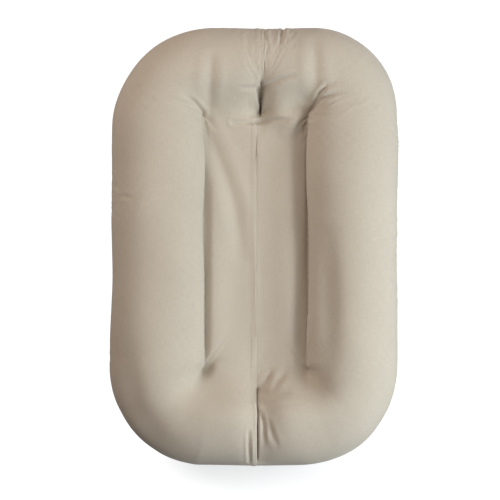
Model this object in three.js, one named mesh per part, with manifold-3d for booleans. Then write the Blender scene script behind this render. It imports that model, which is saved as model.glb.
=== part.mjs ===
// An infant lounger: a stuffed ring-shaped bolster round a fabric sling, in a removable cover that zips
// underneath. Sizes are in millimetres. +Z is up, +Y points to the head end, and the origin is on the floor
// under the middle.
import * as THREE from "three";
import { mergeVertices } from "three/addons/utils/BufferGeometryUtils.js";
import Module from "manifold-3d";

const wasm = await Module();
wasm.setup();

// Overall form
const LENGTH = 737;
const WIDTH = 486;
const HEIGHT = 115;
const CORNER_RADIUS = 165;
const SIDE_BOLSTER_WIDTH = 151.5; // from the outline to the groove beside the sling
const END_BOLSTER_WIDTH = 150; // from the outline to the channel seam at head and foot
const GROOVE_HEIGHT = 40; // floor of the long grooves, on the cover's face
const END_CHANNEL_HEIGHT = 54; // the cover's face over the channel seam at head and foot
const SIDE_SEAM_HEIGHT = 33; // where the top and bottom panels are sewn together
const UNDERSIDE_HEIGHT = 15; // the cover's bottom face below the sling
const FLOOR_SPREAD = 8; // how far the stuffing would hang below the floor if nothing flattened it

// Layers of cloth
const COVER_THICKNESS = 1.2;
const CASING_THICKNESS = 1;
const SLING_THICKNESS = 2.4;
const CLEARANCE = 0.3;

// Section of the bolster
const CREST_SHARE = 0.5;
const GROOVE_ANGLE = THREE.MathUtils.degToRad(105); // the inner face turns under by 15 degrees
const OUTER_ANGLES = [0, 30, 60, 90].map(THREE.MathUtils.degToRad);
const INNER_SHARES = [0.25, 0.5, 0.75, 1];
const CHANNEL_RISE = 24; // the insert's underside climbs this far from the floor to the channel seam
const RISE_SHARES = [1, 2 / 3, 1 / 3, 0];
const RISE_POWER = 1.6;
const LEAST_FLATNESS = 1e-3; // keeps the layer offsets steady where faces are level with each other

// The sling's face, from the groove to the middle
const SHOULDER_HEIGHT = 57;
const SLING_MIDDLE_HEIGHT = 51;
const SLING_EDGE_INSET = 4; // from the channel seam to the sling panel's sewn edge
const SLING_SHARES = [0.12, 0.3, 0.65, 1];
const SHOULDER_SHARES = [0.78, 1, 0.35, 0];
const SPINE_END_MARGIN = 70; // from the channel seam to the end of the line where the sling's halves meet

// Stations round the half loop
const END_EDGE_SHARES = [0, 0.2, 0.5, 1];
const FAN_REACH = 22;
const CORNER_STEPS = 6;
const SIDE_STEPS = 4;

// Places where the cover is drawn in
const PINCH_INSET = 112; // from the outline to the sewn pinch at head and foot
const HEAD_PINCH = { depth: 28, halfWidth: 17, halfLength: 26 };
const FOOT_PINCH = { depth: 24, halfWidth: 13, halfLength: 20 };
const SEAM_VALLEY = { depth: 6, halfWidth: 14 };
const GROOVE_END = { depth: 9, halfWidth: 20, halfLength: 20 };

// Zip
const ZIP_END_MARGIN = 28.5; // from the channel seam to each end of the zip
const ZIP_OPENING = 12;
const ZIP_OPENING_RUNOUT = 15;
const ZIP_OPENING_TAPER = 10;
const TAPE_WIDTH = 13.6;
const TAPE_THICKNESS = 0.8;
const TAPE_TAIL = 12;
const TAPE_SLIT = 2.8;
const COIL_WIDTH = 1.8; // without the hooks at the middle, where the slider's neck passes
const COIL_HEIGHT = 2.5;
const STOP_LENGTH = 4;
const HEAD_STOP_LENGTH = 3;
const SLIDER_LENGTH = 11;
const SLIDER_WALL = 1;
const SLIDER_FLANGE = 1.2;
const SLIDER_REAR_WIDTH = 7.4;
const NECK_WIDTH = 1.8;
const NECK_LENGTH = 3;
const NECK_SETBACK = 1;
const BRIDGE_WIDTH = 2.4;
const BRIDGE_LENGTH = 8;
const BRIDGE_LEG = 1;
const BRIDGE_TUNNEL = 2.1;
const PULL_LENGTH = 22;
const PULL_WIDTH = 7;
const PULL_THICKNESS = 1.2;
const PULL_ARM = 1.5;
const PULL_WINDOW = 6.6;
const PULL_PIN_RADIUS = 0.7;
const PULL_EYE_RADIUS = 0.8;
const PULL_HOLE_RADIUS = 1.4;
const PULL_PIN_SETBACK = 1.5; // from the bridge's middle towards the foot
const PULL_DROOP = THREE.MathUtils.degToRad(27);

// Care label
const LABEL_LENGTH = 36;
const LABEL_WIDTH = 22;
const LABEL_THICKNESS = 0.6;
const LABEL_SHARE = 0.7; // its place along the foot half of the zip

// Sizes that follow from these
const HALF_LENGTH = LENGTH / 2;
const HALF_WIDTH = WIDTH / 2;
const WELL_HALF_WIDTH = HALF_WIDTH - SIDE_BOLSTER_WIDTH;
const WELL_HALF_LENGTH = HALF_LENGTH - END_BOLSTER_WIDTH;
const AXIS_HEIGHT = (GROOVE_HEIGHT - HEIGHT * Math.cos(GROOVE_ANGLE)) / (1 - Math.cos(GROOVE_ANGLE));
const RISE = HEIGHT - AXIS_HEIGHT;
const DROP = AXIS_HEIGHT + FLOOR_SPREAD;
const SEAM_ANGLE = -Math.asin((AXIS_HEIGHT - SIDE_SEAM_HEIGHT) / DROP);
const CASING_INSET = COVER_THICKNESS + CLEARANCE;
const FILL_INSET = CASING_INSET + CASING_THICKNESS + CLEARANCE;
const SLING_INSET = COVER_THICKNESS + 2 * CLEARANCE;
const SPINE_HALF = WELL_HALF_LENGTH - SPINE_END_MARGIN;
const ZIP_HALF = WELL_HALF_LENGTH - ZIP_END_MARGIN;
const TAPE_FLOOR = UNDERSIDE_HEIGHT + COVER_THICKNESS + CLEARANCE;
const COIL_TOP = TAPE_FLOOR - CLEARANCE;
const COIL_BOTTOM = COIL_TOP - COIL_HEIGHT;
const COIL_NEAR = NECK_WIDTH / 2 + CLEARANCE; // from the middle to the coil's inner side
const COIL_REACH = COIL_NEAR + COIL_WIDTH; // from the middle to the coil's outer side
const SLIDER_HALF = COIL_REACH + CLEARANCE + SLIDER_FLANGE;
const SLIDER_MIDDLE = ZIP_HALF - HEAD_STOP_LENGTH - CLEARANCE - SLIDER_LENGTH / 2;
const SLIDER_FACE = COIL_BOTTOM - CLEARANCE - SLIDER_WALL; // the slider's outer face, which the bridge stands on
const PIN_HEIGHT = SLIDER_FACE - BRIDGE_TUNNEL / 2;

const clothMaterial = (color) => new THREE.MeshStandardMaterial({ color, roughness: 0.95, metalness: 0 });
const COVER_CLOTH = clothMaterial(0xbdb29f);
const CASING_CLOTH = clothMaterial(0xe6dfd0);
const SLING_CLOTH = clothMaterial(0xe2dac9);
const FIBRE_FILL = clothMaterial(0xf3f0e8);
const TAPE_CLOTH = clothMaterial(0xb4a996);
const LABEL_CLOTH = clothMaterial(0xf2efe8);
const COIL_NYLON = new THREE.MeshStandardMaterial({ color: 0xa89d8a, roughness: 0.5, metalness: 0 });
const ZIP_METAL = new THREE.MeshStandardMaterial({ color: 0x9a958c, roughness: 0.35, metalness: 1 });

const mix = THREE.MathUtils.lerp;
const ease = (share) => THREE.MathUtils.smoothstep(share, 0, 1);

// Plan of the half loop on +X, from the middle of the foot to the middle of the head. Each station has a
// point on the outline, one on the channel seam, one on the spine, and how far the long groove has formed.
function halfLoopStations() {
  const edge = { outline: HALF_WIDTH - CORNER_RADIUS, channel: WELL_HALF_WIDTH - FAN_REACH };
  const foot = [];
  for (const share of END_EDGE_SHARES) {
    foot.push({
      outline: new THREE.Vector2(edge.outline * share, -HALF_LENGTH),
      channel: new THREE.Vector2(edge.channel * share, -WELL_HALF_LENGTH),
      groove: 0,
    });
  }
  for (let i = 1; i <= CORNER_STEPS; i++) {
    const share = i / CORNER_STEPS;
    const angle = (share - 1) * (Math.PI / 2);
    const turn = FAN_REACH * (2 * share - 1);
    foot.push({
      outline: new THREE.Vector2(
        edge.outline + CORNER_RADIUS * Math.cos(angle),
        CORNER_RADIUS - HALF_LENGTH + CORNER_RADIUS * Math.sin(angle),
      ),
      channel: new THREE.Vector2(
        WELL_HALF_WIDTH + Math.min(turn, 0),
        Math.max(turn, 0) - WELL_HALF_LENGTH,
      ),
      groove: ease(share),
    });
  }
  const side = [];
  for (let i = 1; i < SIDE_STEPS; i++) {
    const along = (2 * i) / SIDE_STEPS - 1;
    side.push({
      outline: new THREE.Vector2(HALF_WIDTH, (HALF_LENGTH - CORNER_RADIUS) * along),
      channel: new THREE.Vector2(WELL_HALF_WIDTH, (WELL_HALF_LENGTH - FAN_REACH) * along),
      groove: 1,
    });
  }
  const head = foot.toReversed().map(({ outline, channel, groove }) => ({
    outline: new THREE.Vector2(outline.x, -outline.y),
    channel: new THREE.Vector2(channel.x, -channel.y),
    groove,
  }));
  const stations = [...foot, ...side, ...head];

  let travelled = 0;
  stations.forEach((station, i) => {
    if (i) travelled += station.channel.distanceTo(stations[i - 1].channel);
    station.travelled = travelled;
  });
  for (const station of stations) {
    station.share = station.travelled / travelled;
    station.width = station.outline.distanceTo(station.channel);
    station.inward = station.channel.clone().sub(station.outline).normalize();
  }
  return stations;
}

const STATIONS = halfLoopStations();

// How far the cover is drawn down at a place seen in plan.
function drawnDown({ x, y }) {
  const dent = ({ depth, halfWidth, halfLength }, dx, dy) =>
    depth * Math.exp(-((dx / halfWidth) ** 2) - (dy / halfLength) ** 2);
  const pinch = HALF_LENGTH - PINCH_INSET;
  const beyond = ease((Math.abs(y) - pinch) / (PINCH_INSET / 2));
  return (
    dent(HEAD_PINCH, x, y - pinch) +
    dent(FOOT_PINCH, x, y + pinch) +
    SEAM_VALLEY.depth * beyond * Math.exp(-((x / SEAM_VALLEY.halfWidth) ** 2)) +
    dent(GROOVE_END, Math.abs(x) - WELL_HALF_WIDTH, Math.abs(y) - WELL_HALF_LENGTH)
  );
}

const placed = (station, reach, height) =>
  new THREE.Vector3(
    station.outline.x + station.inward.x * reach,
    station.outline.y + station.inward.y * reach,
    height,
  );

// The bolster's underside at one station, from the channel seam down to the floor and out to the side seam.
function undersidePoints(station, ceiling) {
  const crest = station.width * CREST_SHARE;
  const contact = Math.asin(AXIS_HEIGHT / DROP);
  const flatEnd = crest + (station.width - crest) * Math.cos(contact);
  const rise = RISE_SHARES.map((share) =>
    placed(station, mix(flatEnd, station.width, share), Math.min(CHANNEL_RISE * share ** RISE_POWER, ceiling)),
  );
  const outer = [-contact, (SEAM_ANGLE - contact) / 2].map((angle) =>
    placed(station, crest - crest * Math.cos(angle), AXIS_HEIGHT + DROP * Math.sin(angle)),
  );
  return [...rise, ...outer];
}

// The bolster's top at one station, from the side seam over the crest to the channel seam.
function topPoints(station) {
  const crest = station.width * CREST_SHARE;
  const run = station.width - crest;
  const outer = [SEAM_ANGLE, ...OUTER_ANGLES].map((angle) =>
    placed(
      station,
      crest - crest * Math.cos(angle),
      AXIS_HEIGHT + (angle < 0 ? DROP : RISE) * Math.sin(angle),
    ),
  );
  const inner = INNER_SHARES.map((share) => {
    const angle = share * GROOVE_ANGLE;
    const swing = (1 + Math.cos(Math.PI * share)) / 2;
    const steep = [crest + (run * Math.sin(angle)) / Math.sin(GROOVE_ANGLE), AXIS_HEIGHT + RISE * Math.cos(angle)];
    const gentle = [crest + run * share, mix(END_CHANNEL_HEIGHT, HEIGHT, swing)];
    return placed(station, ...gentle.map((value, i) => mix(value, steep[i], station.groove)));
  });
  const lowest = mix(END_CHANNEL_HEIGHT, GROOVE_HEIGHT, station.groove);
  for (const point of [...outer, ...inner]) {
    const onTop = THREE.MathUtils.clamp((point.z - AXIS_HEIGHT) / (RISE / 2), 0, 1);
    point.z -= Math.min(drawnDown(point) * onTop, (point.z - lowest) / 2);
  }
  return [...outer, ...inner];
}

// The sling at one station, from beside the channel seam to the spine.
function slingPoints(station) {
  const spine = new THREE.Vector2(0, mix(-SPINE_HALF, SPINE_HALF, station.share));
  const edgeHeight = mix(END_CHANNEL_HEIGHT, GROOVE_HEIGHT, station.groove);
  const shoulder = mix((SLING_MIDDLE_HEIGHT + END_CHANNEL_HEIGHT) / 2, SHOULDER_HEIGHT, station.groove);
  return SLING_SHARES.map((share, i) => {
    const plan = station.channel.clone().lerp(spine, share);
    const base = mix(edgeHeight, SLING_MIDDLE_HEIGHT, share);
    return new THREE.Vector3(plan.x, plan.y, mix(base, shoulder, SHOULDER_SHARES[i]));
  });
}

// The zip edge of the cover's underside at one station.
function zipEdgePoint(station) {
  const reach = ZIP_HALF + ZIP_OPENING_RUNOUT;
  const y = mix(-reach, reach, station.share);
  return new THREE.Vector3((ZIP_OPENING / 2) * ease((reach - Math.abs(y)) / ZIP_OPENING_TAPER), y, UNDERSIDE_HEIGHT);
}

// Triangles between two neighbouring columns of points.
function strip(here, next) {
  const triangles = [];
  for (let j = 0; j + 1 < here.length; j++) {
    triangles.push([here[j], next[j], next[j + 1]], [here[j], next[j + 1], here[j + 1]]);
  }
  return triangles;
}

// How far each point of a grid moves for one unit of depth, so that every face round it moves in by one unit.
// Points on the middle line also take the faces of the mirrored half.
function inwardMoves(columns) {
  const faces = new Map();
  columns.flat().forEach((point) => faces.set(point, []));
  for (let i = 0; i + 1 < columns.length; i++) {
    for (const triangle of strip(columns[i], columns[i + 1])) {
      const normal = new THREE.Triangle(...triangle).getNormal(new THREE.Vector3());
      if (!normal.length()) continue;
      triangle.forEach((point) => {
        faces.get(point).push(normal);
        if (!point.x) faces.get(point).push(new THREE.Vector3(-normal.x, normal.y, normal.z));
      });
    }
  }
  return columns.map((column) =>
    column.map((point) => {
      const sum = new THREE.Vector3();
      const spread = new THREE.Matrix3().multiplyScalar(LEAST_FLATNESS);
      for (const normal of faces.get(point)) {
        const { x, y, z } = normal;
        sum.add(normal);
        [x * x, x * y, x * z, x * y, y * y, y * z, x * z, y * z, z * z].forEach((value, k) => {
          spread.elements[k] += value;
        });
      }
      return sum.applyMatrix3(spread.invert());
    }),
  );
}

// A grid moved in by a depth.
const layerOf = ({ columns, moves }, depth) =>
  columns.map((column, i) => column.map((p, j) => p.clone().addScaledVector(moves[i][j], -depth)));

function grid(columns) {
  return { columns, moves: inwardMoves(columns) };
}

// Every column runs from the underside, round the side and over the crest, to the spine of the sling.
const BOLSTER_FACE = grid(
  STATIONS.map((station) => [
    ...undersidePoints(station, CHANNEL_RISE),
    ...topPoints(station),
    ...slingPoints(station),
  ]),
);
const COVER_FACE = grid(
  STATIONS.map((station) => [
    zipEdgePoint(station),
    ...undersidePoints(station, UNDERSIDE_HEIGHT),
    ...topPoints(station),
    ...slingPoints(station),
  ]),
);
const SEAM_ROW = undersidePoints(STATIONS[0], CHANNEL_RISE).length;
const CHANNEL_ROW = SEAM_ROW + topPoints(STATIONS[0]).length - 1;
const SPINE_ROW = CHANNEL_ROW + SLING_SHARES.length;
const ZIP_EDGE_ROWS = 1; // rows that the cover has before those of the bolster

// Part of each column, with its first or last point drawn back along the cloth from a seam.
function rows(columns, from, to, { first = 0, last = 0 } = {}) {
  const drawnBack = (point, towards, gap) => point.clone().lerp(towards, gap / point.distanceTo(towards));
  return columns.map((column) => {
    const part = column.slice(from, to + 1);
    const end = part.length - 1;
    if (first) part[0] = drawnBack(part[0], part[1], first);
    if (last) part[end] = drawnBack(part[end], part[end - 1], last);
    return part;
  });
}

// A geometry from triangles of points, with its faces turned outwards.
function solidGeometry(triangles) {
  const positions = triangles.flat().flatMap((p) => [p.x, p.y, p.z]);
  let volume = 0;
  for (const [a, b, c] of triangles) volume += a.dot(new THREE.Vector3().crossVectors(b, c));
  const geometry = new THREE.BufferGeometry();
  geometry.setAttribute("position", new THREE.Float32BufferAttribute(positions, 3));
  const merged = mergeVertices(geometry);
  if (volume < 0) {
    const index = merged.index.array;
    for (let i = 0; i < index.length; i += 3) [index[i + 1], index[i + 2]] = [index[i + 2], index[i + 1]];
  }
  merged.computeVertexNormals();
  return merged;
}

const realTriangles = (triangles) =>
  triangles.filter(([a, b, c]) => !a.equals(b) && !b.equals(c) && !c.equals(a));

// Faces between neighbouring columns of points
const surface = (columns) => columns.slice(1).flatMap((next, i) => strip(columns[i], next));

const flipped = (triangles) => triangles.map(([a, b, c]) => [a, c, b]);

// Triangles of the +X half, with those of the other half.
const bothHalves = (triangles) => [
  ...triangles,
  ...flipped(triangles).map((triangle) => triangle.map((p) => new THREE.Vector3(-p.x, p.y, p.z))),
];

// A sheet of cloth between two matching faces, with a rim round its edges. A half that meets its mirror
// image has no walls at its ends, and none on its last row where that row lies on the middle line.
function sheet(face, back, { ends = false, lastRim = true } = {}) {
  const last = face[0].length - 1;
  const rim = (row) => surface(face.map((column, i) => [column[row], back[i][row]]));
  const wall = (i) => surface(face[i].map((p, j) => [p, back[i][j]]));
  return [
    ...surface(face),
    ...flipped(surface(back)),
    ...flipped(rim(0)),
    ...(lastRim ? rim(last) : []),
    ...(ends ? [...wall(0), ...flipped(wall(face.length - 1))] : []),
  ];
}

// One half of the cover, kept off the middle line, where the other half is sewn to it.
function coverGeometry(side, from, to, trims) {
  const layer = (depth) =>
    rows(layerOf(COVER_FACE, depth), from, to, trims).map((column) =>
      column.map((p) => new THREE.Vector3(side * Math.max(p.x, CLEARANCE / 2), p.y, p.z)),
    );
  return solidGeometry(realTriangles(sheet(layer(0), layer(COVER_THICKNESS), { ends: true })));
}

function casingGeometry(from, to, trims) {
  const layer = (depth) => rows(layerOf(BOLSTER_FACE, depth), from, to, trims);
  return solidGeometry(bothHalves(sheet(layer(CASING_INSET), layer(CASING_INSET + CASING_THICKNESS))));
}

function fillRingGeometry() {
  const columns = rows(layerOf(BOLSTER_FACE, FILL_INSET), 0, CHANNEL_ROW);
  return solidGeometry(bothHalves(surface(columns.map((column) => [...column, column[0]]))));
}

function slingPanelGeometry() {
  const layer = (depth) =>
    rows(layerOf(BOLSTER_FACE, depth), CHANNEL_ROW, SPINE_ROW, { first: SLING_EDGE_INSET });
  const half = sheet(layer(SLING_INSET), layer(SLING_INSET + SLING_THICKNESS), { lastRim: false });
  return solidGeometry(bothHalves(realTriangles(half)));
}

// Boolean work on small hard parts
function toManifold(geometry) {
  const bare = geometry.clone();
  bare.deleteAttribute("normal");
  bare.deleteAttribute("uv");
  const merged = mergeVertices(bare);
  const vertProperties = merged.attributes.position.array;
  return new wasm.Manifold(new wasm.Mesh({ numProp: 3, vertProperties, triVerts: merged.index.array }));
}

function fromManifold(solid) {
  const mesh = solid.getMesh();
  const geometry = new THREE.BufferGeometry();
  geometry.setAttribute("position", new THREE.BufferAttribute(mesh.vertProperties, 3));
  geometry.setIndex(new THREE.BufferAttribute(mesh.triVerts, 1));
  geometry.computeVertexNormals();
  return geometry;
}

// A block between two corners.
function block([x0, y0, z0], [x1, y1, z1]) {
  const geometry = new THREE.BoxGeometry(x1 - x0, y1 - y0, z1 - z0);
  return geometry.translate((x0 + x1) / 2, (y0 + y1) / 2, (z0 + z1) / 2);
}

// A plate standing up from a height, cut to a shape seen in plan.
const plate = (shape, from, to, curveSegments = 6) =>
  new THREE.ExtrudeGeometry(shape, { depth: to - from, bevelEnabled: false, curveSegments }).translate(0, 0, from);

function zipTapeGeometry(side) {
  const inner = (side * TAPE_SLIT) / 2;
  const outer = inner + side * TAPE_WIDTH;
  const end = ZIP_HALF + TAPE_TAIL;
  return block(
    [Math.min(inner, outer), -end, TAPE_FLOOR],
    [Math.max(inner, outer), end, TAPE_FLOOR + TAPE_THICKNESS],
  );
}

const coilHeadEnd = () => SLIDER_MIDDLE + SLIDER_LENGTH / 2 - NECK_SETBACK - NECK_LENGTH - CLEARANCE;
const coilFootEnd = () => STOP_LENGTH + CLEARANCE - ZIP_HALF;

// One row of the coil: flat against the tape and beside the neck's way, round on its outer lower side.
function zipCoilGeometry(side) {
  const shape = new THREE.Shape();
  shape.moveTo(side * COIL_NEAR, 0);
  shape.lineTo(side * COIL_NEAR, -COIL_HEIGHT);
  shape.lineTo(side * (COIL_NEAR + COIL_WIDTH - COIL_HEIGHT / 2), -COIL_HEIGHT);
  const turn = side > 0 ? [-Math.PI / 2, Math.PI / 2, false] : [-Math.PI / 2, -Math.PI * 1.5, true];
  shape.absarc(side * (COIL_NEAR + COIL_WIDTH - COIL_HEIGHT / 2), -COIL_HEIGHT / 2, COIL_HEIGHT / 2, ...turn);
  const depth = coilHeadEnd() - coilFootEnd();
  const geometry = new THREE.ExtrudeGeometry(shape, { depth, bevelEnabled: false, curveSegments: 6 });
  return geometry.rotateX(Math.PI / 2).translate(0, coilHeadEnd(), COIL_TOP);
}

function zipFootStopGeometry() {
  const reach = COIL_REACH + CLEARANCE;
  return block([-reach, -ZIP_HALF, COIL_BOTTOM], [reach, STOP_LENGTH - ZIP_HALF, COIL_TOP]);
}

function zipHeadStopGeometry(side) {
  const [inner, outer] = [CLEARANCE, COIL_REACH + CLEARANCE].map((x) => side * x);
  return block(
    [Math.min(inner, outer), ZIP_HALF - HEAD_STOP_LENGTH, COIL_BOTTOM],
    [Math.max(inner, outer), ZIP_HALF, COIL_TOP],
  );
}

// The slider, about its own middle in plan: two plates round the coil, joined by a neck near its head end,
// with flanges beside the coil and a bridge below that holds the pull.
function zipSliderGeometry() {
  const half = SLIDER_LENGTH / 2;
  const rear = SLIDER_REAR_WIDTH / 2;
  const outline = new THREE.Shape();
  outline.moveTo(-rear, -half);
  outline.lineTo(rear, -half);
  outline.lineTo(SLIDER_HALF, -half / 4);
  outline.lineTo(SLIDER_HALF, half - SLIDER_FLANGE);
  outline.lineTo(SLIDER_HALF - SLIDER_FLANGE, half);
  outline.lineTo(SLIDER_FLANGE - SLIDER_HALF, half);
  outline.lineTo(-SLIDER_HALF, half - SLIDER_FLANGE);
  outline.lineTo(-SLIDER_HALF, -half / 4);
  outline.closePath();
  const innerFloor = TAPE_FLOOR + TAPE_THICKNESS + CLEARANCE;
  const tunnelTop = SLIDER_FACE - BRIDGE_TUNNEL;
  const channel = COIL_REACH + CLEARANCE;
  const neckFront = half - NECK_SETBACK;
  const bridgeHalf = BRIDGE_LENGTH / 2;
  const bridgeFloor = tunnelTop - BRIDGE_LEG;

  const tray = toManifold(plate(outline, SLIDER_FACE, COIL_TOP)).subtract(
    toManifold(block([-channel, -LENGTH, COIL_BOTTOM - CLEARANCE], [channel, LENGTH, HEIGHT])),
  );
  const lid = toManifold(plate(outline, innerFloor, innerFloor + SLIDER_WALL));
  const neck = toManifold(
    block(
      [-NECK_WIDTH / 2, neckFront - NECK_LENGTH, SLIDER_FACE],
      [NECK_WIDTH / 2, neckFront, innerFloor + SLIDER_WALL],
    ),
  );
  const bridge = toManifold(
    block([-BRIDGE_WIDTH / 2, -bridgeHalf, bridgeFloor], [BRIDGE_WIDTH / 2, bridgeHalf, SLIDER_FACE]),
  ).subtract(
    toManifold(
      block(
        [-BRIDGE_WIDTH, BRIDGE_LEG - bridgeHalf, tunnelTop],
        [BRIDGE_WIDTH, bridgeHalf - BRIDGE_LEG, SLIDER_FACE],
      ),
    ),
  );
  return fromManifold(tray.add(lid).add(neck).add(bridge));
}

// The pull about its hinge line, lying flat towards the foot.
function zipPullGeometry() {
  const half = PULL_WIDTH / 2;
  const tip = half - PULL_LENGTH;
  const outline = new THREE.Shape();
  outline.moveTo(-half, 0);
  outline.lineTo(-half, tip);
  outline.absarc(0, tip, half, Math.PI, Math.PI * 2, false);
  outline.lineTo(half, 0);
  outline.closePath();
  const window = half - PULL_ARM;
  outline.holes.push(
    new THREE.Path([
      new THREE.Vector2(-window, -PULL_WINDOW),
      new THREE.Vector2(window, -PULL_WINDOW),
      new THREE.Vector2(window, -PULL_PIN_RADIUS / 2),
      new THREE.Vector2(-window, -PULL_PIN_RADIUS / 2),
    ]),
  );
  outline.holes.push(new THREE.Path().absarc(0, tip, PULL_HOLE_RADIUS, 0, Math.PI * 2, true));
  const tab = toManifold(plate(outline, -PULL_THICKNESS / 2, PULL_THICKNESS / 2, 10)).subtract(
    toManifold(block([-window, -PULL_WINDOW, -PULL_THICKNESS], [window, PULL_THICKNESS, PULL_THICKNESS])),
  );
  const pin = (radius, from, to) =>
    toManifold(
      new THREE.CylinderGeometry(radius, radius, to - from, 12)
        .rotateZ(Math.PI / 2)
        .translate((from + to) / 2, 0, 0),
    );
  return fromManifold(
    tab.add(pin(PULL_PIN_RADIUS, -half, half)).add(pin(PULL_EYE_RADIUS, -half, -window)).add(
      pin(PULL_EYE_RADIUS, window, half),
    ),
  );
}

function careLabelGeometry() {
  const y = -ZIP_HALF * LABEL_SHARE;
  const top = UNDERSIDE_HEIGHT - CLEARANCE;
  const inner = -ZIP_OPENING / 2 - CLEARANCE;
  return block(
    [inner - LABEL_LENGTH, y - LABEL_WIDTH / 2, top - LABEL_THICKNESS],
    [inner, y + LABEL_WIDTH / 2, top],
  );
}

function named(name, geometry, material) {
  const mesh = new THREE.Mesh(geometry, material);
  mesh.name = name;
  return mesh;
}

const lounger = new THREE.Group();
const seamGap = CLEARANCE / 2;
const coverSeamRow = SEAM_ROW + ZIP_EDGE_ROWS;
const coverSpineRow = SPINE_ROW + ZIP_EDGE_ROWS;

const insert = new THREE.Group();
insert.add(
  named("fill_ring", fillRingGeometry(), FIBRE_FILL),
  named("ring_casing_top", casingGeometry(SEAM_ROW, CHANNEL_ROW, { first: seamGap }), CASING_CLOTH),
  named("ring_casing_bottom", casingGeometry(0, SEAM_ROW, { last: seamGap }), CASING_CLOTH),
  named("sling_panel", slingPanelGeometry(), SLING_CLOTH),
);

const cover = new THREE.Group();
for (const [word, side] of [
  ["left", -1],
  ["right", 1],
]) {
  cover.add(
    named(`cover_top_${word}`, coverGeometry(side, coverSeamRow, coverSpineRow, { first: seamGap }), COVER_CLOTH),
    named(`cover_bottom_${word}`, coverGeometry(side, 0, coverSeamRow, { last: seamGap }), COVER_CLOTH),
    named(`zip_tape_${word}`, zipTapeGeometry(side), TAPE_CLOTH),
    named(`zip_coil_${word}`, zipCoilGeometry(side), COIL_NYLON),
    named(`zip_head_stop_${word}`, zipHeadStopGeometry(side), ZIP_METAL),
  );
}
cover.add(
  named("zip_foot_stop", zipFootStopGeometry(), ZIP_METAL),
  named("care_label", careLabelGeometry(), LABEL_CLOTH),
);

const slider = new THREE.Group();
slider.position.set(0, SLIDER_MIDDLE, 0);
const pull = named("zip_pull", zipPullGeometry(), ZIP_METAL);
pull.position.set(0, -PULL_PIN_SETBACK, PIN_HEIGHT);
pull.rotation.x = PULL_DROOP;
slider.add(named("zip_slider", zipSliderGeometry(), ZIP_METAL), pull);

lounger.add(insert, cover, slider);

export default lounger;
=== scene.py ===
"""The infant lounger's visual model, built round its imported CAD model.

The file is laid out as an add-on and run as a script. Blender's lengths are metres. The cloth's form is
worked out in mm, with +Y to the head end and +Z up.
"""

import math

import bmesh
import bpy
import numpy as np
from bpy.props import FloatProperty, FloatVectorProperty, IntProperty, PointerProperty
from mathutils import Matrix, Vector, noise


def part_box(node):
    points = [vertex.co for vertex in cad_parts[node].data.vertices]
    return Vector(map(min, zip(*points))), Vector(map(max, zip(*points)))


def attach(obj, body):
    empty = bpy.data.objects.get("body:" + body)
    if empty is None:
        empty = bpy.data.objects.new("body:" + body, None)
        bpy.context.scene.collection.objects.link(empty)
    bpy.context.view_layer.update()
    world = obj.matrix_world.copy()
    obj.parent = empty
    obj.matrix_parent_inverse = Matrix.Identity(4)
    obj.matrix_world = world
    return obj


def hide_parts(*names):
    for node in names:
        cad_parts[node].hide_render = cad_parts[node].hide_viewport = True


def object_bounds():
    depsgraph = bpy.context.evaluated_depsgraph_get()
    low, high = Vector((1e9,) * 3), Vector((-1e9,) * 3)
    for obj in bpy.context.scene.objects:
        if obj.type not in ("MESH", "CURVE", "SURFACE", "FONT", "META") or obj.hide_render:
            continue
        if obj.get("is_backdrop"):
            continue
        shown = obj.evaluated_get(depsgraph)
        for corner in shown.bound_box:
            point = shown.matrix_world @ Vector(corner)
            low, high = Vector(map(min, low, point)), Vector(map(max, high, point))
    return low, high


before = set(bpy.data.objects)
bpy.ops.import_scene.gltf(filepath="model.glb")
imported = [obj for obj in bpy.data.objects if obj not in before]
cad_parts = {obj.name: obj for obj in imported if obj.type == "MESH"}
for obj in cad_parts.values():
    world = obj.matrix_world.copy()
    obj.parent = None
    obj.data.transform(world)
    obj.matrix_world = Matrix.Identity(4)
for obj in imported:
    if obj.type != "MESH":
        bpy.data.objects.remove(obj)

CAD_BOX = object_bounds()

bl_info = {
    "name": "Infant lounger",
    "version": (1, 0, 0),
    "blender": (4, 5, 0),
    "location": "View3D > Sidebar > Lounger",
    "description": "Makes the cover, insert and zip of an infant lounger",
    "category": "Object",
}

MM = 0.001
HALF = np.pi / 2


def linear(hex_colour):
    """Linear RGBA of an sRGB hex colour."""
    levels = [int(hex_colour[i : i + 2], 16) / 255 for i in (1, 3, 5)]
    return [c / 12.92 if c <= 0.04045 else ((c + 0.055) / 1.055) ** 2.4 for c in levels] + [1.0]


def colour(name, description, hex_colour):
    """A property that holds a linear colour."""
    return FloatVectorProperty(
        name=name, description=description, subtype="COLOR", size=4, default=linear(hex_colour)
    )


def length(name, description, millimetres):
    """A property that holds a length in metres, given in mm."""
    return FloatProperty(
        name=name, description=description, default=millimetres * MM, unit="LENGTH", precision=4
    )


def number(name, description, value):
    """A property that holds a plain number."""
    return FloatProperty(name=name, description=description, default=value)


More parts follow.
